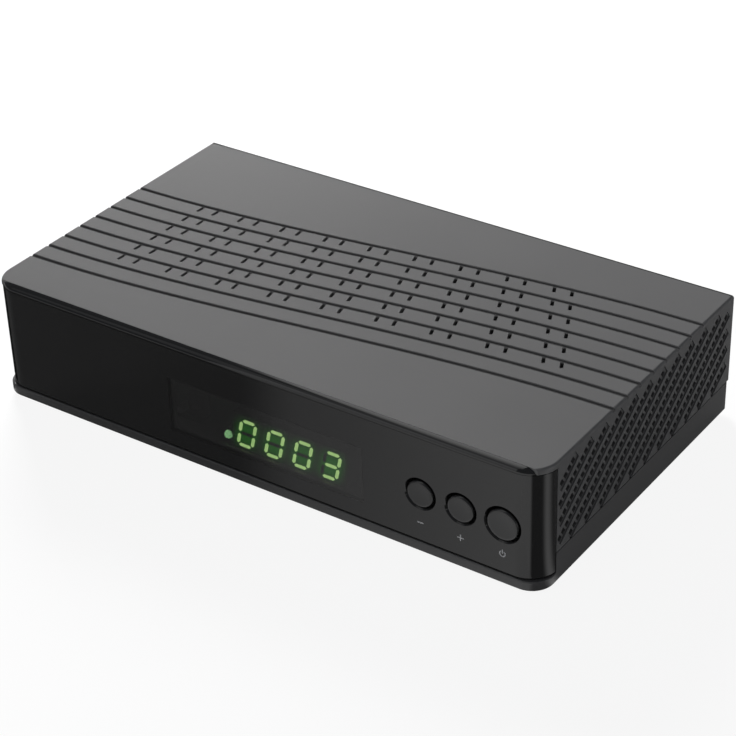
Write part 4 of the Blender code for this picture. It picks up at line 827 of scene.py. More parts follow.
def on_wall(side, centre, way):
    """A place on a side wall, some way along a channel from its middle, turned to its slope."""
    spot = Vector((side * HALF, 0, 0)) + centre + ALONG * way
    return Matrix.Translation(spot) @ Matrix.Rotation(SLOPE, 4, "X")


def channel_matrices(side):
    matrices = []
    for centre, first, last in lattice:
        length = Matrix.Diagonal((1, last - first, 1, 1))
        matrices.append(on_wall(side, centre, (first + last) / 2) @ length)
    return matrices


def hole_matrices(side):
    matrices = []
    for centre, first, last in lattice:
        count = int((last - first) / HOLE_PITCH)
        start = (first + last) / 2 - (count - 1) / 2 * HOLE_PITCH
        for index in range(count):
            matrices.append(on_wall(side, centre, start + index * HOLE_PITCH))
    return matrices


def cut_lattice(side):
    channel_high = Vector((CHANNEL_DEPTH, 0.5, CHANNEL_WIDTH / 2))
    channel = add_box("channel", -channel_high, channel_high)
    combine(cover, stamp(channel, channel_matrices(side), "channels"))
    hole_high = Vector((WALL + MM / 2, HOLE_LENGTH / 2, HOLE_WIDTH / 2))
    hole = add_box("hole", -hole_high, hole_high)
    matrices = hole_matrices(side)
    combine(cover, stamp(hole, matrices, "holes"))
    return len(matrices)


for side in (-1, 1):
    print("side", side, "holes", cut_lattice(side), "faces", len(cover.data.polygons))
soften(cover)
dress(cover, "cover_plastic", "top_cover")

# %% [markdown]
# ## The front panel
#
# The panel is one glossy moulding that wraps both front corners and rolls over the top
# edge. Panel and rim are cut from the same rounded block, so that their faces run on in
# one curve, with a fine seam between them. Two blocks bevelled apart would never line up.

# %% Front panel
SETBACK = panel_low.y - FRONT
SIDE_SETBACK = 0.1 * MM
PANEL_WALL = 2.5 * MM
PANEL_GAP = 0.3 * MM
BLOCK_DEPTH = 40 * MM
CUT_DEPTH = 80 * MM
EDGE_ROUND = 0.4 * MM
RIM_ROUND = 2.2 * MM
lens_low, lens_high = corners("display_window")
FACE = lens_low.y
BLOCK_BACK = FRONT + BLOCK_DEPTH
CUT_BACK = FRONT + CUT_DEPTH


def moulding(name):
    """The outer shape of the panel and of the rim above it, with the rim's wide rounding."""
    low = (-HALF + SIDE_SETBACK, FRONT + SETBACK, panel_low.z)
    high = (HALF - SIDE_SETBACK, BLOCK_BACK, TOP)
    body = rounded_case(name, low, high, CORNER - SETBACK, 0, steps=32)
    limit = FRONT + 0.75 * BLOCK_DEPTH

    def top_edge(spot, way):
        return lies_level(way) and spot.z > TOP - MM and spot.y < limit

    def low_edge(spot, way):
        return lies_level(way) and spot.z < panel_low.z + MM and spot.y < limit

    bevel_edges(body, top_edge, RIM_ROUND, 12)
    bevel_edges(body, low_edge, EDGE_ROUND, 4)
    return body


def panel_body():
    panel = moulding("panel")
    inner = SETBACK + PANEL_WALL
    inner_low = (-HALF + inner, FRONT + inner, panel_low.z - OVER)
    inner_high = (HALF - inner, CUT_BACK, TOP + OVER)
    combine(panel, rounded_case("inner", inner_low, inner_high, CORNER - inner, 0, steps=16))
    cut_across(panel, FRONT + PANEL_RETURN - PANEL_GAP, CUT_BACK, panel_low.z - OVER, TOP + OVER)
    cut_across(panel, FRONT - OVER, CUT_BACK, panel_high.z, TOP + OVER)
    return panel


def rim_body():
    """The strip of the moulding between the panel's top and the roof."""
    rim = moulding("rim")
    cut_across(rim, FRONT - OVER, CUT_BACK, panel_low.z - OVER, panel_high.z + RIM_SEAM)
    cut_across(rim, FRONT + RIM_DEPTH - RIM_SEAM, CUT_BACK, panel_low.z - OVER, TOP + OVER)
    return rim


panel = panel_body()
rim = rim_body()
soften(rim)
dress(rim, "gloss_black")
print("panel faces", len(panel.data.polygons), "rim faces", len(rim.data.polygons))

# %% [markdown]
# A finger finds a button by the dish round it. A bevel round each hole would be too even,
# so each dish is cut with a turned body that widens towards the face. The lens's pocket has
# a ledge all round, on which the lens rests. Its walls get the dull black, since polished
# ones would mirror the digits.

# %% Dishes and pocket
BUTTONS = [
    ("channel_down", 4.3 * MM, 5.3 * MM),
    ("channel_up", 4.3 * MM, 5.3 * MM),
    ("power", 5.0 * MM, 6.0 * MM),
]
BUTTON_GAP = 0.25 * MM
DISH_DEPTH = 0.9 * MM
SEAM = 0.03 * MM
LEDGE = 1.2 * MM


def button_middle(name):
    """The X and Z of a button's middle."""
    low, high = corners("button_" + name)
    middle = (low + high) / 2
    return middle.x, middle.z


def dish_cutter(x, z, cap, dish):
    """The hole for a button, widening towards the face like a shallow funnel."""
    radius = cap + BUTTON_GAP
    profile = [
        (0, -OVER),
        (dish + (dish - radius) * OVER / DISH_DEPTH, -OVER),
        (radius, DISH_DEPTH),
        (radius, PANEL_WALL + OVER),
        (0, PANEL_WALL + OVER),
    ]
    return add_turned("dish", profile, (x, FACE, z))


def dull_walls():
    """Gives the walls of the lens's pocket the second material."""
    panel.data.materials.append(FINISHES["switch_black"])
    for face in panel.data.polygons:
        beside = lens_low.x - MM < face.center.x < lens_high.x + MM
        level = lens_low.z - MM < face.center.z < lens_high.z + MM
        if beside and level and abs(face.normal.y) < 0.5:
            face.material_index = 1


for name, cap, dish in BUTTONS:
    x, z = button_middle(name)
    combine(panel, dish_cutter(x, z, cap, dish))
pocket_low = (lens_low.x - SEAM, FRONT - OVER, lens_low.z - SEAM)
pocket_high = (lens_high.x + SEAM, lens_high.y + SEAM, lens_high.z + SEAM)
cut_box(panel, pocket_low, pocket_high)
view_low = (lens_low.x + LEDGE, FRONT - OVER, lens_low.z + LEDGE)
view_high = (lens_high.x - LEDGE, FRONT + 2 * PANEL_WALL, lens_high.z - LEDGE)
cut_box(panel, view_low, view_high)
soften(panel)
dress(panel, "gloss_black", "front_panel")
dull_walls()
print("panel faces with dishes and pocket", len(panel.data.polygons))

# %% [markdown]
# The lens is a flat window of smoked plastic. A dark rectangle with bright digits painted
# on it would look right from one side only. A clear slab shows the real digits behind it
# from every side. Its edges are dull and black, so that they don't mirror the digits.

# %% Lens
lens = add_box("lens", lens_low, lens_high)
soften(lens, even=False)
dress(lens, "smoked_lens", "display_window")
lens.data.materials.append(FINISHES["switch_black"])
for face in lens.data.polygons:
    face.material_index = 0 if abs(face.normal.y) > 0.5 else 1
print("lens", [round(value, 4) for value in lens_high - lens_low])

# %% [markdown]
# ## The buttons
#
# Each button is a short cylinder whose rim is rounded and whose face is slightly dished.
# Such a round shape is made best by turning its outline, as on a lathe. Behind the panel
# it keeps the ears and the stem of its CAD solid, which are united with it.

# %% Buttons
CAP_ROUND = 0.7 * MM
CAP_DISH = 0.22 * MM
CAP_BACK = 3.1 * MM
EAR_GAP = 0.3 * MM
EAR_HALF = 3 * MM
EAR_THICK = 1 * MM
STEM_RADIUS = 1.7 * MM
ARC = [math.radians(15 * step) for step in range(7)]


def cap_profile(cap, length):
    """A round cap from the middle of its dished face, over its rounded rim, to its back."""
    inner = cap - CAP_ROUND
    profile = [(inner * share / 6, CAP_DISH * (1 - (share / 6) ** 2)) for share in range(7)]
    for angle in ARC[1:]:
        profile.append((inner + CAP_ROUND * math.sin(angle), CAP_ROUND * (1 - math.cos(angle))))
    return profile + [(cap, length), (0, length)]


def add_button(name, cap):
    low, high = corners("button_" + name)
    x, z = button_middle(name)
    length = FACE + CAP_BACK - low.y
    button = add_turned("cap_" + name, cap_profile(cap, length), (x, low.y, z))
    ear_front = FACE + PANEL_WALL + EAR_GAP
    ear_rise = (high.z - low.z) / 2
    ears_low = (x - EAR_HALF, ear_front, z - ear_rise)
    ears = add_box("ears", ears_low, (x + EAR_HALF, ear_front + EAR_THICK, z + ear_rise))
    bevel_edges(ears, lambda spot, way: abs(way.y) > STRAIGHT, 1 * MM, 4)
    stem = add_round("stem", (x, ear_front, z), (x, high.y, z), STEM_RADIUS, 32)
    combine(combine(button, ears, "UNION"), stem, "UNION")
    soften(button, angle=40)
    carrier = name + "_button"
    return dress(button, "button_black", "button_" + name, body=carrier)


for name, cap, _ in BUTTONS:
    print("button", name, len(add_button(name, cap).data.polygons))

# %% [markdown]
# The marks below the buttons are plain signs: a minus, a plus, and the usual sign for
# standby. They are thin prints, so each is a flat solid that stands a hair above the
# panel's face. That keeps its edges sharp at any distance.

# %% Marks under the buttons
MARK_RISE = 0.02 * MM
MARK_Z = BASE + 9.6 * MM
MARK_SIZE = 2.1 * MM
STROKE = 0.36 * MM
SIGN_RADIUS = 1.05 * MM
SIGN_GAP = 0.45 * MM


def mark_bar(x, z, width, height):
    low = (x - width / 2, FACE - MARK_RISE, z - height / 2)
    return add_box("bar", low, (x + width / 2, FACE + MARK_RISE, z + height / 2))


def standby_sign(x, z):
    """An open ring with a bar in its gap."""
    start = (x, FACE - MARK_RISE, z)
    end = (x, FACE + MARK_RISE, z)
    ring = add_round("ring", start, end, SIGN_RADIUS, 48)
    inner = SIGN_RADIUS - STROKE
    combine(ring, add_round("inside", (x, FACE - OVER, z), (x, FACE + OVER, z), inner, 48))
    gap_low = (x - SIGN_GAP, FACE - OVER, z)
    cut_box(ring, gap_low, (x + SIGN_GAP, FACE + OVER, z + 2 * SIGN_RADIUS))
    return join([ring, mark_bar(x, z + 0.75 * MM, STROKE, 1.3 * MM)], "mark_power")


def add_marks():
    down, up, power = (button_middle(name)[0] for name, _, _ in BUTTONS)
    minus = mark_bar(down, MARK_Z, MARK_SIZE, STROKE)
    minus.name = "mark_minus"
    plus = mark_bar(up, MARK_Z, MARK_SIZE, STROKE)
    combine(plus, mark_bar(up, MARK_Z, STROKE, MARK_SIZE), "UNION")
    plus.name = "mark_plus"
    for mark in (minus, plus, standby_sign(power, MARK_Z)):
        dress(mark, "print_white", slot="gloss_black")
    print("marks at", [round(x, 4) for x in (down, up, power)])


add_marks()

# %% [markdown]
# ## The display
#
# The module's face carries four slanted digits of seven segments each. A font would be less
# work, but it has no dark segments. The segments are long hexagons, so each is made from a
# box whose ends are drawn out to points, and is then laid in one of seven places.

# %% Segments
DIGIT_HEIGHT = 9.9 * MM
DIGIT_WIDTH = 6.3 * MM
SEGMENT = 1.15 * MM
SEGMENT_RISE = 0.06 * MM
POINT = 0.42 * SEGMENT
TIP = 0.12


def segment_piece(length):
    """A flat bar along X with pointed ends."""
    half = length / 2 - POINT
    bar_high = Vector((half, SEGMENT_RISE, SEGMENT / 2))
    bar = add_box("segment", -bar_high, bar_high)
    for side in (-1, 1):
        pick(bar)
        bpy.ops.object.mode_set(mode="EDIT")
        bpy.ops.mesh.select_mode(type="FACE")
        bpy.ops.mesh.select_all(action="DESELECT")
        shape = bmesh.from_edit_mesh(bar.data)
        for face in shape.faces:
            if face.normal.x * side > STRAIGHT:
                face.select_set(True)
        bmesh.update_edit_mesh(bar.data)
        bpy.ops.mesh.extrude_region_move(TRANSFORM_OT_translate={"value": (side * POINT, 0, 0)})
        tip = (side * (half + POINT), 0, 0)
        bpy.ops.transform.resize(value=(1, 1, TIP), center_override=tip)
        bpy.ops.object.mode_set(mode="OBJECT")
    return bar


def segment_places():
    """The place and turn of each segment in a digit that stands round its own middle."""
    across = DIGIT_WIDTH - SEGMENT
    rise = (DIGIT_HEIGHT - SEGMENT) / 2
    stand = Matrix.Rotation(math.radians(90), 4, "Y")
    places = {}
    for letter, height in (("a", rise), ("g", 0), ("d", -rise)):
        places[letter] = (across, Matrix.Translation((0, 0, height)))
    for letter, side, half in (("f", -1, 1), ("b", 1, 1), ("e", -1, -1), ("c", 1, -1)):
        spot = (side * across / 2, 0, half * rise / 2)
        places[letter] = (rise, Matrix.Translation(spot) @ stand)
    return places


places = segment_places()
print("segments of a digit", len(places), "lengths", sorted({round(row[0], 5) for row in places.values()}))

# %% [markdown]
# The digits lean to the right, and the lit segments read 0003. All lit segments become one
# piece and all dark ones another, since they differ only in finish. Each glow plate stands
# a hair before the last one, because surfaces in one place would flicker.

# %% Digits
module_low, module_high = corners("display_module")
DIGIT_PITCH = 10.1 * MM
SEGMENT_GAP = 0.9 * MM
GLOW_WIDTH = 1.5 * DIGIT_PITCH
GLOW_TALL = DIGIT_HEIGHT + 7 * MM
SLANT = math.radians(13)
LIT = {"0": "abcdef", "3": "abcdg"}
SHOWN = "0003"


def glow_plate(place, lift):
    """A thin plate behind one digit, for the light that spreads in the display's face."""
    plate = add_sheet("glow_plate")
    stand = Matrix.Rotation(math.radians(90), 4, "X")
    size = Matrix.Diagonal((GLOW_WIDTH, GLOW_TALL, 1, 1))
    plate.data.transform(Matrix.Translation((0, -lift, 0)) @ place @ stand @ size)
    return plate


def add_digits():
    lean = Matrix.Identity(4)
    lean[0][2] = math.tan(SLANT)
    middle = (module_low + module_high) / 2
    lit_pieces = []
    dark_pieces = []
    glows = []
    for index, shown in enumerate(SHOWN):
        x = middle.x + (index - (len(SHOWN) - 1) / 2) * DIGIT_PITCH
        place = Matrix.Translation((x, module_low.y, middle.z)) @ lean
        for letter, (length, turn) in places.items():
            bar = segment_piece(length - SEGMENT_GAP)
            bar.data.transform(place @ turn)
            (lit_pieces if letter in LIT[shown] else dark_pieces).append(bar)
        glows.append(glow_plate(place, (1 + index) * SMALL))
    dress(join(glows, "digits_glow"), "glow_green", slot="display_grey")
    dress(join(lit_pieces, "digits_lit"), "segment_lit", slot="display_grey")
    dress(join(dark_pieces, "digits_dark"), "segment_dark", slot="display_grey")
    print("segments lit", len(lit_pieces), "dark", len(dark_pieces))


add_digits()

# %% [markdown]
# The round lamp left of the digits is an LED that looks out of a black collar. A lit
# sphere would look the same from straight ahead, but its sides would shine too. Here lamp
# and collar are turned from outlines, and only the lamp's dome shows.

# %% Status lamp
LAMP_BACK = 1 * MM
LAMP_DROP = 0.8 * MM
LAMP_RADIUS = 1.35 * MM
FLANGE_RADIUS = 1.9 * MM
FLANGE_DEPTH = 1 * MM
COLLAR_RADIUS = LAMP_RADIUS + 0.7 * MM
COLLAR_MOUTH = LAMP_RADIUS + 0.5 * MM
COLLAR_BORE = LAMP_RADIUS + 0.03 * MM
COLLAR_GAP = 0.2 * MM


def axis_of(low, high):
    """The x and z of the line along Y through the middle of a box."""
    return (low.x + high.x) / 2, (low.z + high.z) / 2


def add_status_lamp():
    """A lit dome that stands in a black collar, which hides the lamp's neck."""
    low, high = corners("status_led")
    x, z = axis_of(low, high)
    z -= LAMP_DROP
    front = low.y + LAMP_BACK
    length = high.y - front
    flange = length - FLANGE_DEPTH
    dome = [(LAMP_RADIUS * math.sin(angle), LAMP_RADIUS * (1 - math.cos(angle))) for angle in ARC]
    neck = [(LAMP_RADIUS, flange), (FLANGE_RADIUS, flange), (FLANGE_RADIUS, length), (0, length)]
    lamp = add_turned("status_lamp", dome + neck, (x, front, z), steps=48)
    soften(lamp, angle=40)
    dress(lamp, "lamp_green", "status_led", slot="led_green")
    end = flange - COLLAR_GAP
    ring = [
        (COLLAR_BORE, LAMP_RADIUS),
        (COLLAR_MOUTH, LAMP_RADIUS),
        (COLLAR_RADIUS, LAMP_RADIUS + COLLAR_GAP),
        (COLLAR_RADIUS, end),
        (COLLAR_BORE, end),
    ]
    collar = add_turned("lamp_collar", ring, (x, front, z), steps=48, ring=True)
    soften(collar)
    dress(collar, "switch_black")
    print("lamp behind the digits by", round(front - module_low.y, 5))


add_status_lamp()

# %% [markdown]
# ## The tray
#
# The tray shows as a lip under the front and a plain band along the sides. Like the cover it
# is a bevelled box that is cut. Its lip could stay sharp, but a fine rounding draws a light
# line below the panel, as on the real one.

# %% Tray
LIP_TOP = BASE + 3 * MM
LIP_ROUND = 0.35 * MM
TRAY_CORNER = 7 * MM
TRAY_WALL = 3.2 * MM
PARTING_GAP = 0.3 * MM
TRAY_ROUND = 0.2 * MM


def rounds_corner(place):
    """True for a place on the outer line of the case, front corners included."""
    centre = Vector((HALF - TRAY_CORNER, FRONT + TRAY_CORNER))
    if place.y > centre.y or abs(place.x) < centre.x:
        return abs(place.x) > HALF - MM / 20 or place.y < FRONT + MM / 20
    return abs((Vector((abs(place.x), place.y)) - centre).length - TRAY_CORNER) < MM / 10


def tray_body():
    low = (-HALF, FRONT, BASE)
    high = (HALF, tray_high.y, PARTING - PARTING_GAP)
    tray = rounded_case("tray", low, high, TRAY_CORNER, REAR_CORNER)
    bevel_edges(tray, lambda spot, way: lies_level(way) and spot.z < BASE + MM / 10, TRAY_ROUND, 2)
    inner_low = (-HALF + TRAY_WALL, FRONT + TRAY_WALL, BASE + WALL)
    inner_high = (HALF - TRAY_WALL, BACK + OVER, PARTING + OVER)
    combine(tray, rounded_case("inner", inner_low, inner_high, CORNER - TRAY_WALL, 0, steps=16))
    cut_across(tray, FRONT - OVER, FRONT + PANEL_RETURN, LIP_TOP, PARTING + OVER)

    def outer_line(spot, way):
        return abs(spot.z - LIP_TOP) < SMALL and (spot.y < FRONT + MM / 20 or rounds_corner(spot))

    bevel_edges(tray, outer_line, LIP_ROUND, 3)
    return tray


tray = tray_body()
print("tray body faces", len(tray.data.polygons))

# %% [markdown]
# Cool air comes in through slots in the floor, which also has recesses for four feet and
# four screws. A sill along the rear edge holds the rear plate in a groove. The recesses
# take their places from the CAD nodes, because typed ones could drift from the feet.

# %% Floor and sill of the tray
SILL_HIGH = 5 * MM
PLATE_FOOT = 2.3 * MM
FLOOR_SLOT_HALF = 9 * MM
FLOOR_SLOT_PITCH = 6 * MM
FLOOR_FIELD = 0.27
RECESS_GAP = 0.3 * MM
FOOT_RECESS = 0.8 * MM
SCREW_RECESS = 2.2 * MM
SILL_INSET = 5 * MM
SILL_DEPTH = 6.5 * MM
PLATE_GAP = 0.3 * MM


def floor_slots():
    """Two fields of vents in the floor, as one cutter."""
    slot_high = (MM, FLOOR_SLOT_HALF, WALL + OVER)
    slot = add_box("slot", (-MM, -FLOOR_SLOT_HALF, -OVER), slot_high)
    bevel_edges(slot, upright, 0.95 * MM, 6)
    middles = (-FLOOR_FIELD * 2 * HALF, FLOOR_FIELD * 2 * HALF)
    steps = [FLOOR_SLOT_PITCH * (index - 4) for index in range(9)]
    spots = [middle + step for middle in middles for step in steps]
    places = [Matrix.Translation((x, (FRONT + BACK) / 2, BASE)) for x in spots]
    return stamp(slot, places, "floor_slots")


def round_recesses(prefix, count, depth):
    """One cutter for the recesses of several round pieces in the floor."""
    cutters = []
    for number in range(1, count + 1):
        low, high = corners(f"{prefix}_{number}")
        middle = (low + high) / 2
        radius = (high.x - low.x) / 2 + RECESS_GAP
        end = (middle.x, middle.y, BASE + depth)
        cutters.append(add_round("recess", (middle.x, middle.y, BASE - OVER), end, radius, 48))
    return join(cutters, "recesses")


def rear_sill():
    """The low bar along the rear edge, with the groove that holds the rear plate."""
    plate_low, plate_high = corners("rear_panel")
    half = HALF - SILL_INSET
    sill_low = (-half, tray_high.y - SILL_DEPTH, BASE + MM)
    sill = add_box("sill", sill_low, (half, tray_high.y, BASE + SILL_HIGH))
    groove_low = (-HALF, plate_low.y - PLATE_GAP, BASE + PLATE_FOOT)
    return cut_box(sill, groove_low, (HALF, plate_high.y + PLATE_GAP, BASE + 2 * SILL_HIGH))


combine(tray, floor_slots())
combine(tray, round_recesses("rubber_foot", 4, FOOT_RECESS))
combine(tray, round_recesses("case_screw", 4, SCREW_RECESS))
combine(tray, rear_sill(), "UNION")
soften(tray)
dress(tray, "tray_plastic", "bottom_shell")
print("tray faces", len(tray.data.polygons))

# %% [markdown]
# ## Rear connectors and screws
#
# The aerial connectors get their screw thread, a white insulator and a hole for the
# cable's core. A bump could suggest the thread, but its outline shows against the
# background, so one tooth is swept round the barrel.

# %% Aerial connectors
THREAD_PITCH = 0.79 * MM
THREAD_DEPTH = 0.45 * MM
BARREL = 4.7 * MM
MOUTH = 3.4 * MM
MOUTH_DEPTH = 1.2 * MM
PLATE_BACK = corners("rear_panel")[1].y


def add_thread(name, x, z, start, end):
    """A helical thread of one tooth, swept round the barrel with a Screw modifier."""
    low = BARREL - THREAD_DEPTH
    crest = (0.4 * THREAD_PITCH, 0.55 * THREAD_PITCH)
    rows = [(low, 0), (BARREL, crest[0]), (BARREL, crest[1]), (low, THREAD_PITCH)]
    turns = int((end - start) / THREAD_PITCH) - 1
    tooth = sweep_round(add_outline(name, rows), 48, THREAD_PITCH, turns)
    lay_down = Matrix.Rotation(math.radians(-90), 4, "X")
    tooth.data.transform(Matrix.Translation((x, start, z)) @ lay_down)
    return tooth


def add_insulator(number, x, z, end):
    """The white disc in a connector's mouth, with the hole for the cable's core."""
    back = (x, end - MOUTH_DEPTH + MM / 20, z)
    front = (x, end - 0.55 * MM, z)
    insulator = add_round(f"aerial_insulator_{number}", back, front, MOUTH - MM / 20, 48)
    hole = add_round("core_hole", (x, end - OVER, z), (x, end + OVER, z), 0.8 * MM, 24)
    combine(insulator, hole)
    bevel_edges(insulator, lambda spot, way: spot.y > end - 0.6 * MM, 0.12 * MM, 2)
    soften(insulator)
    dress(insulator, "insulator_white", slot="nickel")


def add_aerial_connector(node, number):
    low, high = corners(node)
    x, z = axis_of(low, high)
    end = high.y
    collar = add_round("collar", (x, low.y, z), (x, low.y + MM, z), (high.x - low.x) / 2, 64)
    core = add_round("core", (x, low.y, z), (x, end, z), BARREL - 0.4 * MM, 64)
    combine(collar, core, "UNION")
    bore = add_round("bore", (x, end - MOUTH_DEPTH, z), (x, end + OVER, z), MOUTH, 64)
    combine(collar, bore)
    bevel_edges(collar, lambda spot, way: spot.y > end - MM / 20, 0.15 * MM, 3)
    thread = add_thread("thread", x, z, PLATE_BACK + 0.2 * MM, end - 0.3 * MM)
    body = join([collar, thread], f"aerial_connector_{number}")
    soften(body, even=False)
    dress(body, "nickel", node)
    add_insulator(number, x, z, end)
    print(body.name, "faces", len(body.data.polygons))


for number, node in enumerate(("lnb_in_connector", "lnb_out_connector"), 1):
    add_aerial_connector(node, number)

# %% [markdown]
# The nuts hold the connectors on the rear plate. A nut is a cylinder of six sides. Bevelling
# its edges would cut them evenly, but a real nut is turned: so only what it shares with a
# cone is kept, which gives the curved edges.

# %% Nuts
NUT_BEVEL = 0.35 * MM


def add_nut(number):
    low, high = corners(f"connector_nut_{number}")
    x, z = axis_of(low, high)
    radius = (high.z - low.z) / 2
    nut = add_round(f"hex_nut_{number}", (x, low.y, z), (x, high.y, z), radius, 6)
    far = (x, low.y - radius, z)
    wide = 2 * radius - NUT_BEVEL
    cone = add_round("cone", far, (x, high.y, z), wide, 64, radius - NUT_BEVEL)
    combine(nut, cone, "INTERSECT")
    end = (x, high.y + OVER, z)
    combine(nut, add_round("bore", (x, low.y - OVER, z), end, BARREL + 0.1 * MM, 64))
    soften(nut)
    dress(nut, "nickel", f"connector_nut_{number}")
    print(nut.name, "faces", len(nut.data.polygons))


for number in (1, 2):
    add_nut(number)

# %% [markdown]
# The audio socket gets its orange insulator, and two sockets get their gold contacts. These
# are small, but they are what makes a socket look open and real. One flat strip is copied
# along each row.

# %% Contacts
AUDIO_RISE = 6.5 * MM
AUDIO_RADIUS = 3.3 * MM
AUDIO_HOLE = 1.75 * MM


def add_audio_insulator():
    low, high = corners("audio_socket")
    x, _ = axis_of(low, high)
    z = low.z + AUDIO_RISE
    end = high.y
    start = (x, end - 0.02 * MM, z)
    ring = add_round("audio_insulator", start, (x, end + 0.25 * MM, z), AUDIO_RADIUS, 64)
    combine(ring, add_round("hole", (x, end - OVER, z), (x, end + OVER, z), AUDIO_HOLE, 48))
    bevel_edges(ring, lambda spot, way: spot.y > end + 0.2 * MM, 0.12 * MM, 2)
    soften(ring)
    dress(ring, "insulator_orange", slot="nickel")


def add_socket_contacts(name, node, count, pitch, size, rise, start, end):
    """A row of flat gold contacts inside a socket, with all lengths in millimetres."""
    low, high = corners(node)
    middle, _ = axis_of(low, high)
    half = size[0] * MM / 2
    strip = add_box("strip", (-half, 0, 0), (half, (end - start) * MM, size[1] * MM))
    places = []
    for index in range(count):
        x = middle + pitch * MM * (index - (count - 1) / 2)
        places.append(Matrix.Translation((x, high.y + start * MM, low.z + rise * MM)))
    strips = stamp(strip, places, name)
    soften(strips, even=False)
    dress(strips, "contact_gold", slot="tinned_steel")
    print(name, count)


add_audio_insulator()
# Each row: name, node, count, pitch, (width, thickness), height, start and end from the rear.
CONTACTS = [
    ("usb_contacts", "usb_socket", 4, 2.3, (1, 0.12), 3.48, -10, -1.6),
    ("hdmi_contacts", "hdmi_socket", 10, 1, (0.45, 0.08), 3.36, -8, -1.9),
]
for row in CONTACTS:
    add_socket_contacts(*row)

# %% [markdown]
# Every screw gets a domed head and a cross recess. The screws of the case stand upside
# down, and those of the boards face up or back, so one function makes a screw along any
# direction from its node's box.

# %% Screws
HEAD_RADIUS = 2.5 * MM
HEAD_DEPTH = 1.6 * MM
HEAD_ROUND = 0.55 * MM
SHANK_RADIUS = 1.2 * MM
CROSS_HALF = Vector((1.35 * MM, 0.3 * MM))
CROSS_DEPTH = 0.9 * MM


def add_screw(node, name, direction):
    low, high = corners(node)
    middle = (low + high) / 2
    direction = Vector(direction)
    reach = (high - low).dot(Vector([abs(value) for value in direction])) / 2
    top = middle + direction * reach
    head = add_round(name, top, top - direction * HEAD_DEPTH, HEAD_RADIUS, 48)
    edge = top - direction * MM / 20
    bevel_edges(head, lambda spot, way: (spot - edge).dot(direction) > 0, HEAD_ROUND, 4)
    start = top - direction * 1.5 * MM
    shank = add_round("shank", start, middle - direction * reach, SHANK_RADIUS, 24)
    combine(head, shank, "UNION")
    turn = direction.to_track_quat("Z", "Y").to_matrix().to_4x4()
    for angle in (45, 135):
        blade = add_box("blade", (*-CROSS_HALF, -CROSS_DEPTH), (*CROSS_HALF, OVER))
        spin = Matrix.Rotation(math.radians(angle), 4, "Z")
        blade.data.transform(Matrix.Translation(top) @ turn @ spin)
        combine(head, blade)
    soften(head, even=False)
    dress(head, "screw_zinc", node)
    return len(head.data.polygons)


for number in range(1, 5):
    add_screw(f"case_screw_{number}", f"case_fixing_{number}", (0, 0, -1))
    add_screw(f"board_screw_{number}", f"board_fixing_{number}", (0, 0, 1))
for number in range(1, 4):
    faces = add_screw(f"front_board_screw_{number}", f"front_board_fixing_{number}", (0, 1, 0))
print("faces of a screw", faces)

# %% [markdown]
# ## Materials of the CAD nodes
#
# The parts inside the case, and a few outside, keep their CAD shape. They only need their
# finish, which is found by the material slot that the record gives each of them. Picking
# each by hand would do the same, but a part added later would be forgotten.

# %% Assign materials to the nodes
# The record calls the lamp's finish led_green.
FINISHES["led_green"] = FINISHES["lamp_green"]
subparts = frame["record"]["subparts"]
for row in subparts:
    for place in nodes[row["node"]].material_slots:
        place.material = FINISHES[row["material_slot"]]
print("nodes with a finish", len(subparts))

# %% [markdown]
# ## Studio
#
# The receiver stands on a wide pale sheet. Lighting it to white would flood the receiver
# with light too. So the sheet looks nearly white by itself, to the eye, in mirrors and
# through glass, and one part in ten of what is seen is its lit surface, which keeps the
# receiver's shadow. The world gives a weak even light.

# %% Floor and world
FLOOR_SHINE = 0.9
FLOOR_SIZE = 30
FLOOR_TONE = 0.82
WORLD_LEVEL = 0.2


def white_sheet(name, tone):
    """A pale diffuse sheet that is seen as nearly white and keeps a faint shadow."""
    made, tree, shader = new_material(name)
    shader.inputs["Roughness"].default_value = 0.9
    noise = object_noise(tree, 3)
    tint = mix_colours(tree, noise.outputs["Fac"], grey(tone * 0.98), grey(tone))
    path = tree.nodes.new("ShaderNodeLightPath").outputs
    seen = reckon(tree, path["Is Camera Ray"], path["Is Glossy Ray"], "MAXIMUM")
    seen = reckon(tree, seen, path["Is Transmission Ray"], "MAXIMUM")
    light = tree.nodes.new("ShaderNodeEmission")
    light.inputs["Color"].default_value = (1, 1, 1, 1)
    choose = tree.nodes.new("ShaderNodeMixShader")
    link = tree.links.new
    link(tint, shader.inputs["Base Color"])
    link(ramp_between(tree, seen, 0, 1, 0, FLOOR_SHINE), choose.inputs["Fac"])
    link(shader.outputs["BSDF"], choose.inputs[1])
    link(light.outputs["Emission"], choose.inputs[2])
    link(choose.outputs["Shader"], tree.nodes["Material Output"].inputs["Surface"])
    return made


def add_floor():
    floor = add_sheet("floor", FLOOR_SIZE)
    floor.data.materials.append(white_sheet("floor_white", FLOOR_TONE))


def set_world():
    world = bpy.data.worlds.new("studio")
    bpy.context.scene.world = world
    world.use_nodes = True
    soft = world.node_tree.nodes["Background"]
    soft.inputs["Color"].default_value = (0.9, 0.93, 1.0, 1)
    soft.inputs["Strength"].default_value = WORLD_LEVEL


add_floor()
set_world()
print("floor", FLOOR_SIZE, "m wide, world", WORLD_LEVEL)

# %% [markdown]
# ## Reflection cards
#
# A glossy black panel shows little but what it mirrors. Photographers set black and white
# cards round such a thing, and so does this step. Two black cards darken the panel's left
# half and its left end. A third leaves a bright sector, which draws the upright highlight
# in the right corner. A white card above lights the rim. Only reflections see the cards.

# %% Card makers
CARD_LIFT = 0.2 * MM


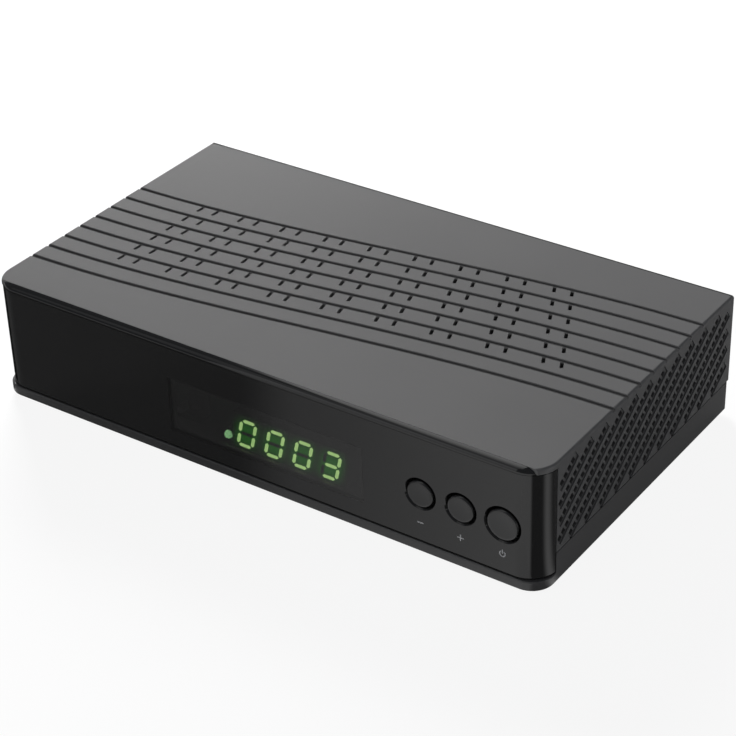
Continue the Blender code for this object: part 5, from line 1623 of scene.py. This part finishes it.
def shade_card(name, build_mask):
    """Black where the mask is 1 and clear where it is 0."""
    made, tree, shader = new_material(name)
    shader.inputs["Base Color"].default_value = (*grey(0.005), 1)
    shader.inputs["Roughness"].default_value = 0.9
    shader.inputs["Specular IOR Level"].default_value = 0
    tree.links.new(build_mask(tree), shader.inputs["Alpha"])
    return made


def glow_card(name, build_mask, strength):
    """Shines where the mask is 1 and is clear where it is 0."""
    made = shade_card(name, build_mask)
    shader = made.node_tree.nodes["Principled BSDF"]
    shader.inputs["Emission Color"].default_value = (1, 1, 1, 1)
    shader.inputs["Emission Strength"].default_value = strength
    return made


def add_card(name, low, high, material, height=CARD_LIFT):
    """A flat card that only reflections see."""
    card = add_sheet(name)
    middle = ((low[0] + high[0]) / 2, (low[1] + high[1]) / 2, height)
    size = Matrix.Diagonal((high[0] - low[0], high[1] - low[1], 1, 1))
    card.data.transform(Matrix.Translation(middle) @ size)
    card.data.materials.append(material)
    card.visible_camera = False
    card.visible_diffuse = False
    card.visible_shadow = False
    card.visible_transmission = False
    print("card", name, round(high[0] - low[0], 3), round(high[1] - low[1], 3))


# %% [markdown]
# Each card is cut to shape by a mask: a pattern in the card's own place that says how much
# of it is there. Real cards have hard edges, and a mask can fade instead, so that no
# reflection ends in a line. The left one fades over the middle of the panel, along the
# direction in which the camera's view is mirrored.

# %% Masks of the left card and the corner card
FLAG_EDGE = 4 * MM
FLAG_FADE = 22 * MM
FLAG_TAIL = 120 * MM
FLAG_DARK = 0.85
FLAG_STEP = 0.3
# Each row: two angles, and what the darkness at the first and beyond the second adds.
SECTORS = [(27, 37, 0, FLAG_DARK), (66, 86, 0, -FLAG_DARK), (86, 112, 0, FLAG_DARK)]


def dot_with(tree, direction):
    """How far a point lies along a direction."""
    along = tree.nodes.new("ShaderNodeVectorMath")
    along.operation = "DOT_PRODUCT"
    along.inputs[1].default_value = direction
    tree.links.new(object_place(tree), along.inputs[0])
    return along.outputs["Value"]


def left_mask(tree):
    """Dark left of a line from the panel's middle, that runs where the reflection runs."""
    heading = Vector((CAMERA_AIM.x, -CAMERA_AIM.y)).normalized()
    right = Vector((-heading.y, heading.x, 0))
    along = dot_with(tree, right)
    low = Vector((FLAG_EDGE, FRONT, 0)).dot(right) - FLAG_FADE / 2
    step = ramp_between(tree, along, low, low + FLAG_FADE, FLAG_DARK, FLAG_DARK - FLAG_STEP)
    tail = ramp_between(tree, along, low, low + FLAG_TAIL, 0, FLAG_STEP - FLAG_DARK)
    return reckon(tree, step, tail)


def turn_share(angle):
    """An angle from straight ahead, positive to the right, as the radial gradient counts it."""
    return 0.25 + angle / 360


def corner_mask(tree):
    """Dark round the corner but for one bright sector, which becomes the corner's highlight."""
    shift = tree.nodes.new("ShaderNodeMapping")
    shift.inputs["Location"].default_value = (CORNER - HALF, -FRONT - CORNER, 0)
    spin = tree.nodes.new("ShaderNodeTexGradient")
    spin.gradient_type = "RADIAL"
    tree.links.new(object_place(tree), shift.inputs["Vector"])
    tree.links.new(shift.outputs["Vector"], spin.inputs["Vector"])
    steps = []
    for low, high, start, end in SECTORS:
        turn = spin.outputs["Fac"]
        steps.append(ramp_between(tree, turn, turn_share(low), turn_share(high), start, end))
    return reckon(tree, reckon(tree, steps[0], steps[1]), steps[2])


print("sectors of the corner card", SECTORS)

# %% [markdown]
# The other two masks are plain fades. Three cards lie just above the floor, where the panel
# and its corners mirror it, and the white one hangs over the case. Standing cards would do
# too, but a flat one is placed by two corners and its mask by plain X and Y.

# %% Cards
CARD_REACH = 0.3
GLOW_HEIGHT = 0.28
GLOW_STRENGTH = 2.0
GLOW_LEFT = -0.26
GLOW_RIGHT = 0.055
GLOW_BACK = 0.16
GLOW_SLANT = (1, 0.27, 0)
GLOW_START = (-0.193, -0.148)
GLOW_FADE = 0.06


def full_mask(tree):
    """Fully dark, with a soft edge at the far side."""
    start = -HALF - CARD_REACH
    return ramp_between(tree, dot_with(tree, (1, 0, 0)), start, start + CARD_REACH / 3, 0, 1)


def glow_mask(tree):
    """Bright where the right half of the rim looks, and fading towards the front."""
    right = ramp_between(tree, dot_with(tree, GLOW_SLANT), *GLOW_START, 0, 1)
    ahead = dot_with(tree, (0, 1, 0))
    rear = ramp_between(tree, ahead, FRONT - CARD_REACH, FRONT + GLOW_FADE, 0, 1)
    return reckon(tree, right, rear, "MULTIPLY")


def add_cards():
    """Cards that darken the panel's left half and both corners, and one that lights the rim."""
    left = -HALF - CARD_REACH
    right = HALF + CARD_REACH
    near = FRONT - CARD_REACH
    far = BACK + CARD_REACH
    add_card("flag_left", (left, near), (HALF, FRONT), shade_card("flag_left", left_mask))
    add_card("flag_end", (left, FRONT), (-HALF, far), shade_card("flag_end", full_mask))
    corner_shade = shade_card("flag_right", corner_mask)
    add_card("flag_right", (HALF - CORNER, near), (right, far), corner_shade)
    rim_glow = glow_card("rim_glow", glow_mask, GLOW_STRENGTH)
    high = (GLOW_RIGHT, GLOW_BACK)
    add_card("rim_glow", (GLOW_LEFT, near), high, rim_glow, TOP + GLOW_HEIGHT)


add_cards()

# %% [markdown]
# ## Lamps
#
# The roof is brightest at the rear left and fades to the front right, so the key lamp
# stands behind the left rear corner. It would show as a glare in the glossy parts and is
# kept out of reflections. Three weak lamps lift the front, the rim and the side. A lit
# backdrop alone would be simpler, but it would light the whole roof evenly.

# %% Lamps
CASE_MIDDLE = (0, 0, 0.02)


def add_lamp(name, place, aim, size, power):
    data = bpy.data.lights.new(name, "AREA")
    data.size = size
    data.energy = power
    lamp = new_object(name, data)
    lamp.location = place
    lamp.rotation_euler = (Vector(aim) - Vector(place)).to_track_quat("-Z", "Y").to_euler()
    print("lamp", name, power, "W")
    return lamp


key = add_lamp("key", (-0.5, 0.46, 0.33), CASE_MIDDLE, 0.3, 16)
key.visible_glossy = False
add_lamp("front_fill", (-0.55, -0.75, 0.75), CASE_MIDDLE, 0.6, 0.3)
add_lamp("rim_fill", (-0.1, -0.33, 0.13), (0.05, FRONT, TOP), 0.16, 0.05)
add_lamp("side_fill", (1.1, 0.1, 0.25), CASE_MIDDLE, 0.5, 0.75)

scene = bpy.context.scene
scene.view_settings.view_transform = "Standard"
scene.view_settings.look = "None"
